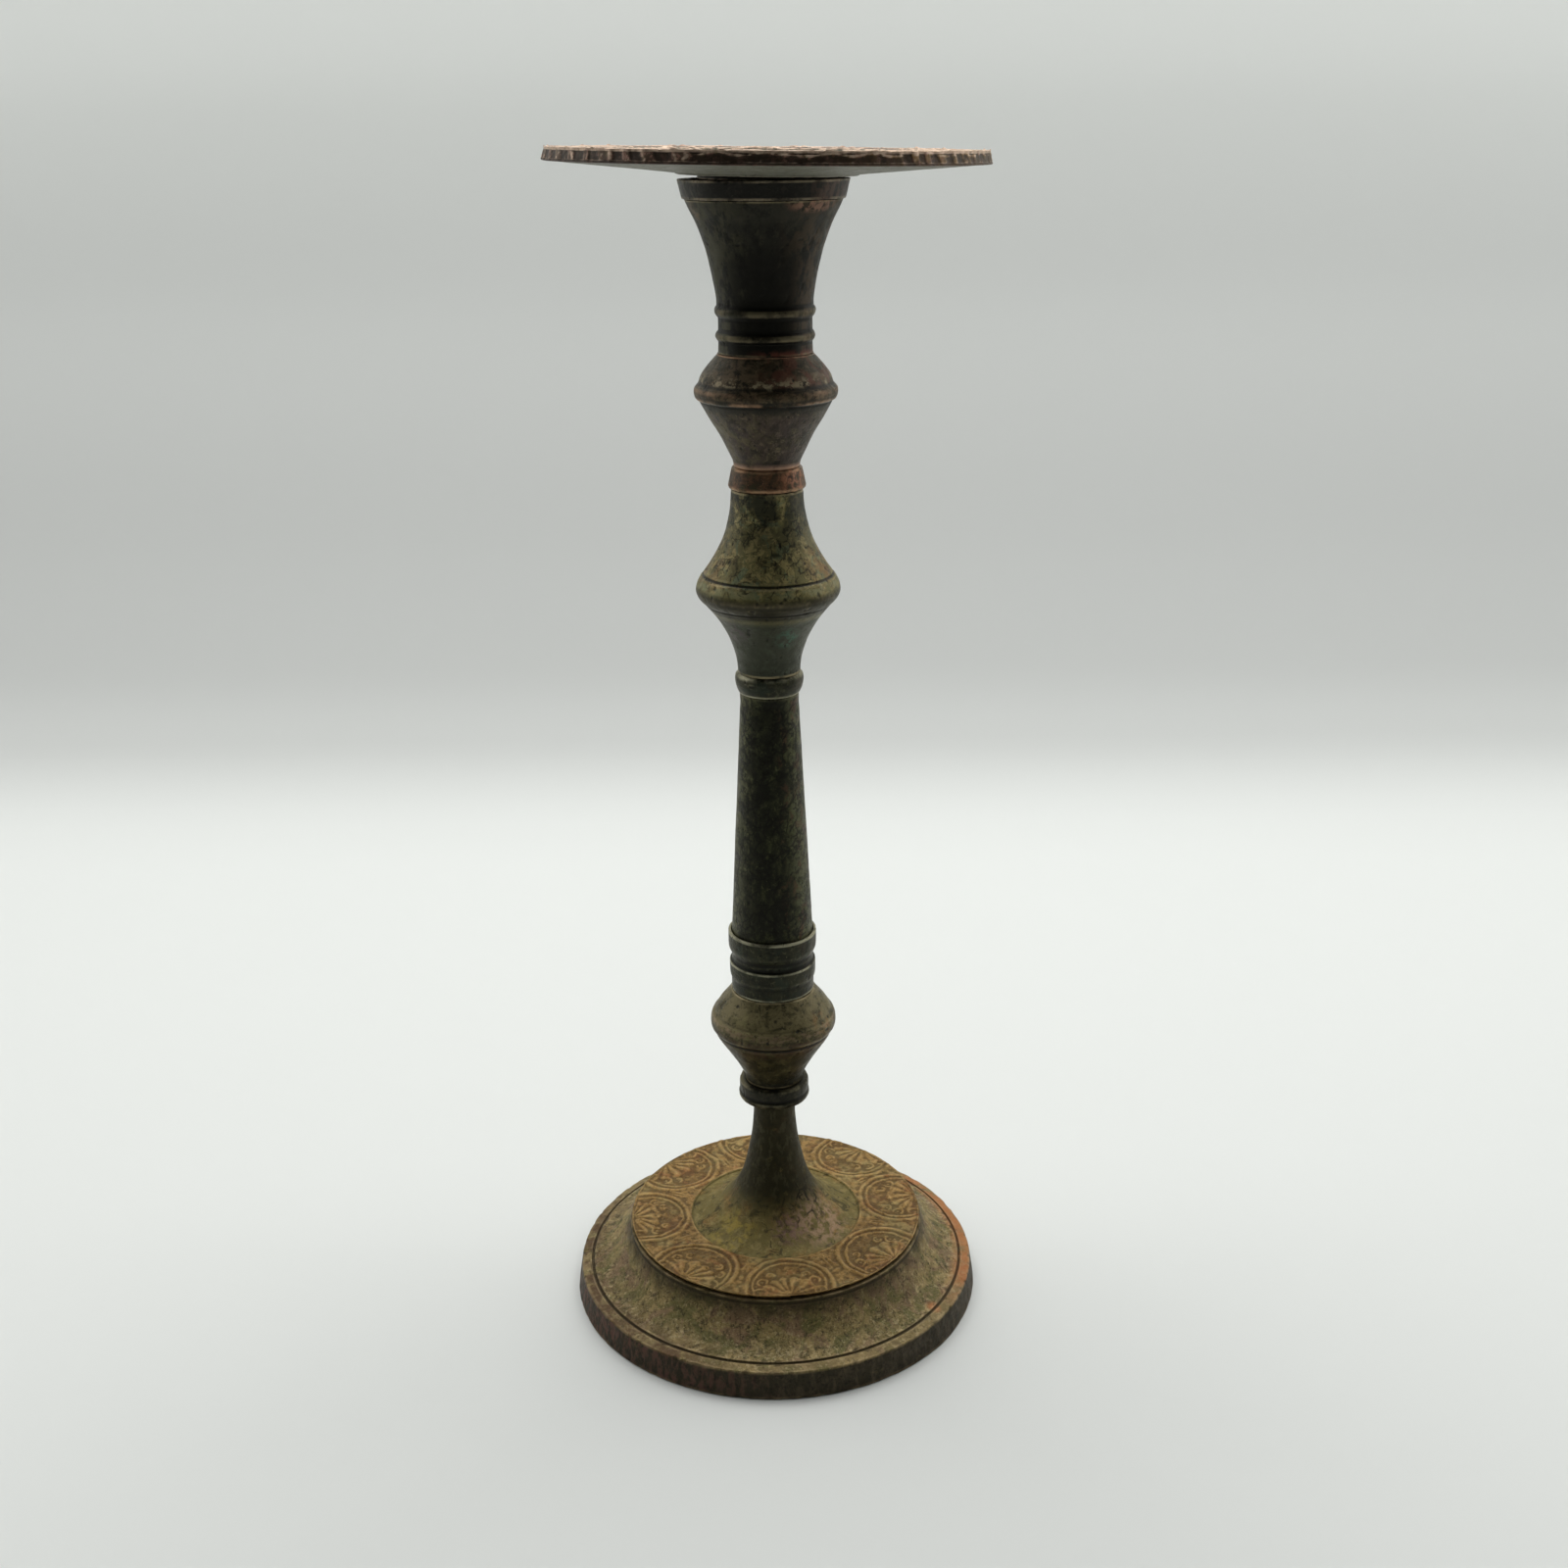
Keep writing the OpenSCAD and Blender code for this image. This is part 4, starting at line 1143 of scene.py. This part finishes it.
def make_nut(node, seed):
    """A hexagonal nut with its corners chamfered and a threaded bore."""
    low, high = foot_of(node), top_of(node)
    across = (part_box(node)[1].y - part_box(node)[0].y) / MM / 2
    bore_r = 4.05
    face_r = np.linspace(bore_r + 0.5, across * 1.14, 9)
    rings = [(r, low) for r in face_r]
    rings += [(across * 1.15, z) for z in np.linspace(low + 0.12, high - 0.12, 34)]
    rings += [(r, high) for r in face_r[::-1]]
    rings += [(bore_r, z) for z in np.linspace(high - 0.45, low + 0.45, 36)]
    v, counts = points_of(Rows(rings, [144] * len(rings), True))
    r, z, a = v["r"], v["z"], v["a"]
    side = across / np.cos(a % (np.pi / 3) - np.pi / 6)
    cone = across * 0.94 + np.minimum(z - low, high - z) / math.tan(math.radians(30))
    hexagon = np.minimum(side, cone)
    on_face = (np.abs(z - low) < 1e-6) | (np.abs(z - high) < 1e-6)
    shaped = np.where(r > across * 1.145, hexagon, np.where(on_face, np.minimum(r, hexagon), r))
    shaped = shaped - np.where(r < bore_r + 0.01, 0.3 * thread(v) - 0.3, 0)
    shaped = shaped - 0.03 * (1 + noise(around(shaped, a, z), 1.8, seed)) * (r > 5)
    corner = np.abs(a % (np.pi / 3) - np.pi / 6) > np.pi / 6 - 0.09
    wear = np.clip(0.8 * corner * (r > 6) + v["edge"] * 0.7, 0, 1)
    faces = ring_faces(counts, True)
    return add_mesh(node, "stand", "nut_steel", around(shaped, a, z), faces, wear, v["groove"])


def make_lock_washer():
    """A split spring washer: square section, cut through on the slant at +X."""
    low, high = foot_of("lock_washer"), top_of("lock_washer")
    inner_r, outer_r, bevel, turns = 4.3, 7.0, 0.22, 150
    outline = []
    for i, (r, z) in enumerate([(inner_r, low), (outer_r, low), (outer_r, high), (inner_r, high)]):
        ends = [np.array([r + (bevel if r == inner_r else -bevel), z]),
                np.array([r, z + (bevel if z == low else -bevel)])]
        tail, head = ends if i % 2 else ends[::-1]
        outline.extend(bezier(tail, np.array([r, z]), head, t) for t in (0.0, 0.5, 1.0))
    n = len(outline)
    gap = math.radians(4.3)
    angle = np.repeat(np.linspace(gap, 2 * np.pi - gap, turns), n)
    r, z = np.tile(outline, (turns, 1)).T
    fade = smooth(np.minimum(angle, 2 * np.pi - angle), 0.9, gap)
    lean = (z - (low + high) / 2) * math.tan(math.radians(30)) / r * fade
    co = around(r, angle - lean, z)
    faces = [face[::-1] for face in ring_faces([n] * turns, False)]
    faces += [list(range(n)), [(turns - 1) * n + k for k in range(n)][::-1]]
    return add_mesh("lock_washer", "stand", "rod_steel", co, faces, np.full(len(co), 0.5), np.zeros(len(co)))


make_disc()
make_pan()
make_socket()
make_rod()
make_nut("top_nut", 241)
make_nut("base_nut", 251)
turned_piece("top_washer", "rod_steel", 261, dict(dents=0.02, lumps=0.01, pits=0.03, chips=0.03),
             bevel=0.15, count=120, inner=nowhere)
turned_piece("clamp_plate", "plate_iron", 271, dict(dents=0.08, lumps=0.05, pits=0.15),
             step=0.6, bevel=0.3, count=240, inner=nowhere)
make_lock_washer()


# ---------------------------------------------------------------- stage, light and camera

def make_stage():
    """A pale floor that sweeps up into a wall behind the object, with painted shading: darker low on the wall,
    brighter higher up.
    """
    start, radius, wall, front, half = 0.40, 0.42, 2.4, -6.0, 12.0
    line = [(front, 0.0), (-0.5, 0.0), (0.0, 0.0), (start, 0.0)]
    for i in range(1, 25):
        t = math.pi / 2 * i / 24
        line.append((start + radius * math.sin(t), radius * (1 - math.cos(t))))
    line.append((start + radius, wall))
    verts = [(x, y, z) for y, z in line for x in (-half, half)]
    faces = [(2 * i, 2 * i + 1, 2 * i + 3, 2 * i + 2) for i in range(len(line) - 1)]
    mesh = bpy.data.meshes.new("stage")
    mesh.from_pydata(verts, [], faces)
    mesh.polygons.foreach_set("use_smooth", np.ones(len(faces), bool))
    obj = bpy.data.objects.new("stage", mesh)
    bpy.context.scene.collection.objects.link(obj)
    paper = bpy.data.materials.new("paper")
    paper.use_nodes = True
    shader = paper.node_tree.nodes["Principled BSDF"]
    tree = paper.node_tree
    where = tree.nodes.new("ShaderNodeTexCoord")
    split = tree.nodes.new("ShaderNodeSeparateXYZ")
    shade = tree.nodes.new("ShaderNodeValToRGB")
    shade.color_ramp.interpolation = "EASE"
    # Painted shading by height: the floor, then darker low on the wall, brighter towards the top.
    stops = ((0.0, 0.76), (0.03, 0.58), (0.06, 0.53), (0.12, 0.54), (0.29, 0.65), (0.49, 0.90), (0.8, 0.92))
    while len(shade.color_ramp.elements) < len(stops):
        shade.color_ramp.elements.new(0.5)
    for element, (at, tone) in zip(shade.color_ramp.elements, stops):
        element.position = at
        element.color = (tone * 0.99, tone * 1.01, tone * 0.98, 1)
    tree.links.new(where.outputs["Object"], split.inputs[0])
    tree.links.new(split.outputs["Z"], shade.inputs[0])
    tree.links.new(shade.outputs[0], shader.inputs["Base Color"])
    shader.inputs["Roughness"].default_value = 0.8
    shader.inputs["Specular IOR Level"].default_value = 0.1
    mesh.materials.append(paper)


def area(name, place, aim, width, height, power, colour=(1, 1, 1)):
    data = bpy.data.lights.new(name, "AREA")
    data.shape, data.size, data.size_y = "RECTANGLE", width, height
    data.energy, data.color = power, colour
    obj = bpy.data.objects.new(name, data)
    bpy.context.scene.collection.objects.link(obj)
    obj.location = place
    obj.rotation_mode = "QUATERNION"
    obj.rotation_quaternion = (Vector(aim) - Vector(place)).to_track_quat("-Z", "Y")


def make_light():
    world = bpy.data.worlds.new("studio")
    bpy.context.scene.world = world
    world.use_nodes = True
    back = world.node_tree.nodes["Background"]
    back.inputs["Color"].default_value = (0.93, 1.0, 0.96, 1)
    back.inputs["Strength"].default_value = 0.09
    area("top", (0, 0.45, 1.45), (0, -0.25, 0), 1.5, 1.0, 21)
    area("left", (-1.2, 0.3, 0.7), (0, 0.0, 0.2), 0.9, 1.4, 4.5)
    area("right", (1.2, 0.3, 0.7), (0, 0.0, 0.2), 0.9, 1.4, 5.5)


def make_camera():
    """At the photograph's angle: level with the pan, looking down twenty degrees, with its slight roll."""
    pitch, roll = 0.348894, -0.00914246
    data = bpy.data.cameras.new("camera")
    data.sensor_width, data.lens = 36.0, 36.0 * 1.146794
    data.clip_start, data.clip_end = 0.01, 20
    obj = bpy.data.objects.new("camera", data)
    bpy.context.scene.collection.objects.link(obj)
    ahead = Vector((0, math.cos(pitch), -math.sin(pitch)))
    level = Vector((1, 0, 0))
    above = level.cross(ahead)
    right = math.cos(roll) * level + math.sin(roll) * above
    up = math.cos(roll) * above - math.sin(roll) * level
    turn = Matrix((right, up, -ahead)).transposed().to_4x4()
    obj.matrix_world = Matrix.Translation((0.00456, -0.574, 0.4037)) @ turn
    bpy.context.scene.camera = obj


make_stage()
make_light()
make_camera()
bpy.context.scene.view_settings.view_transform = "Standard"
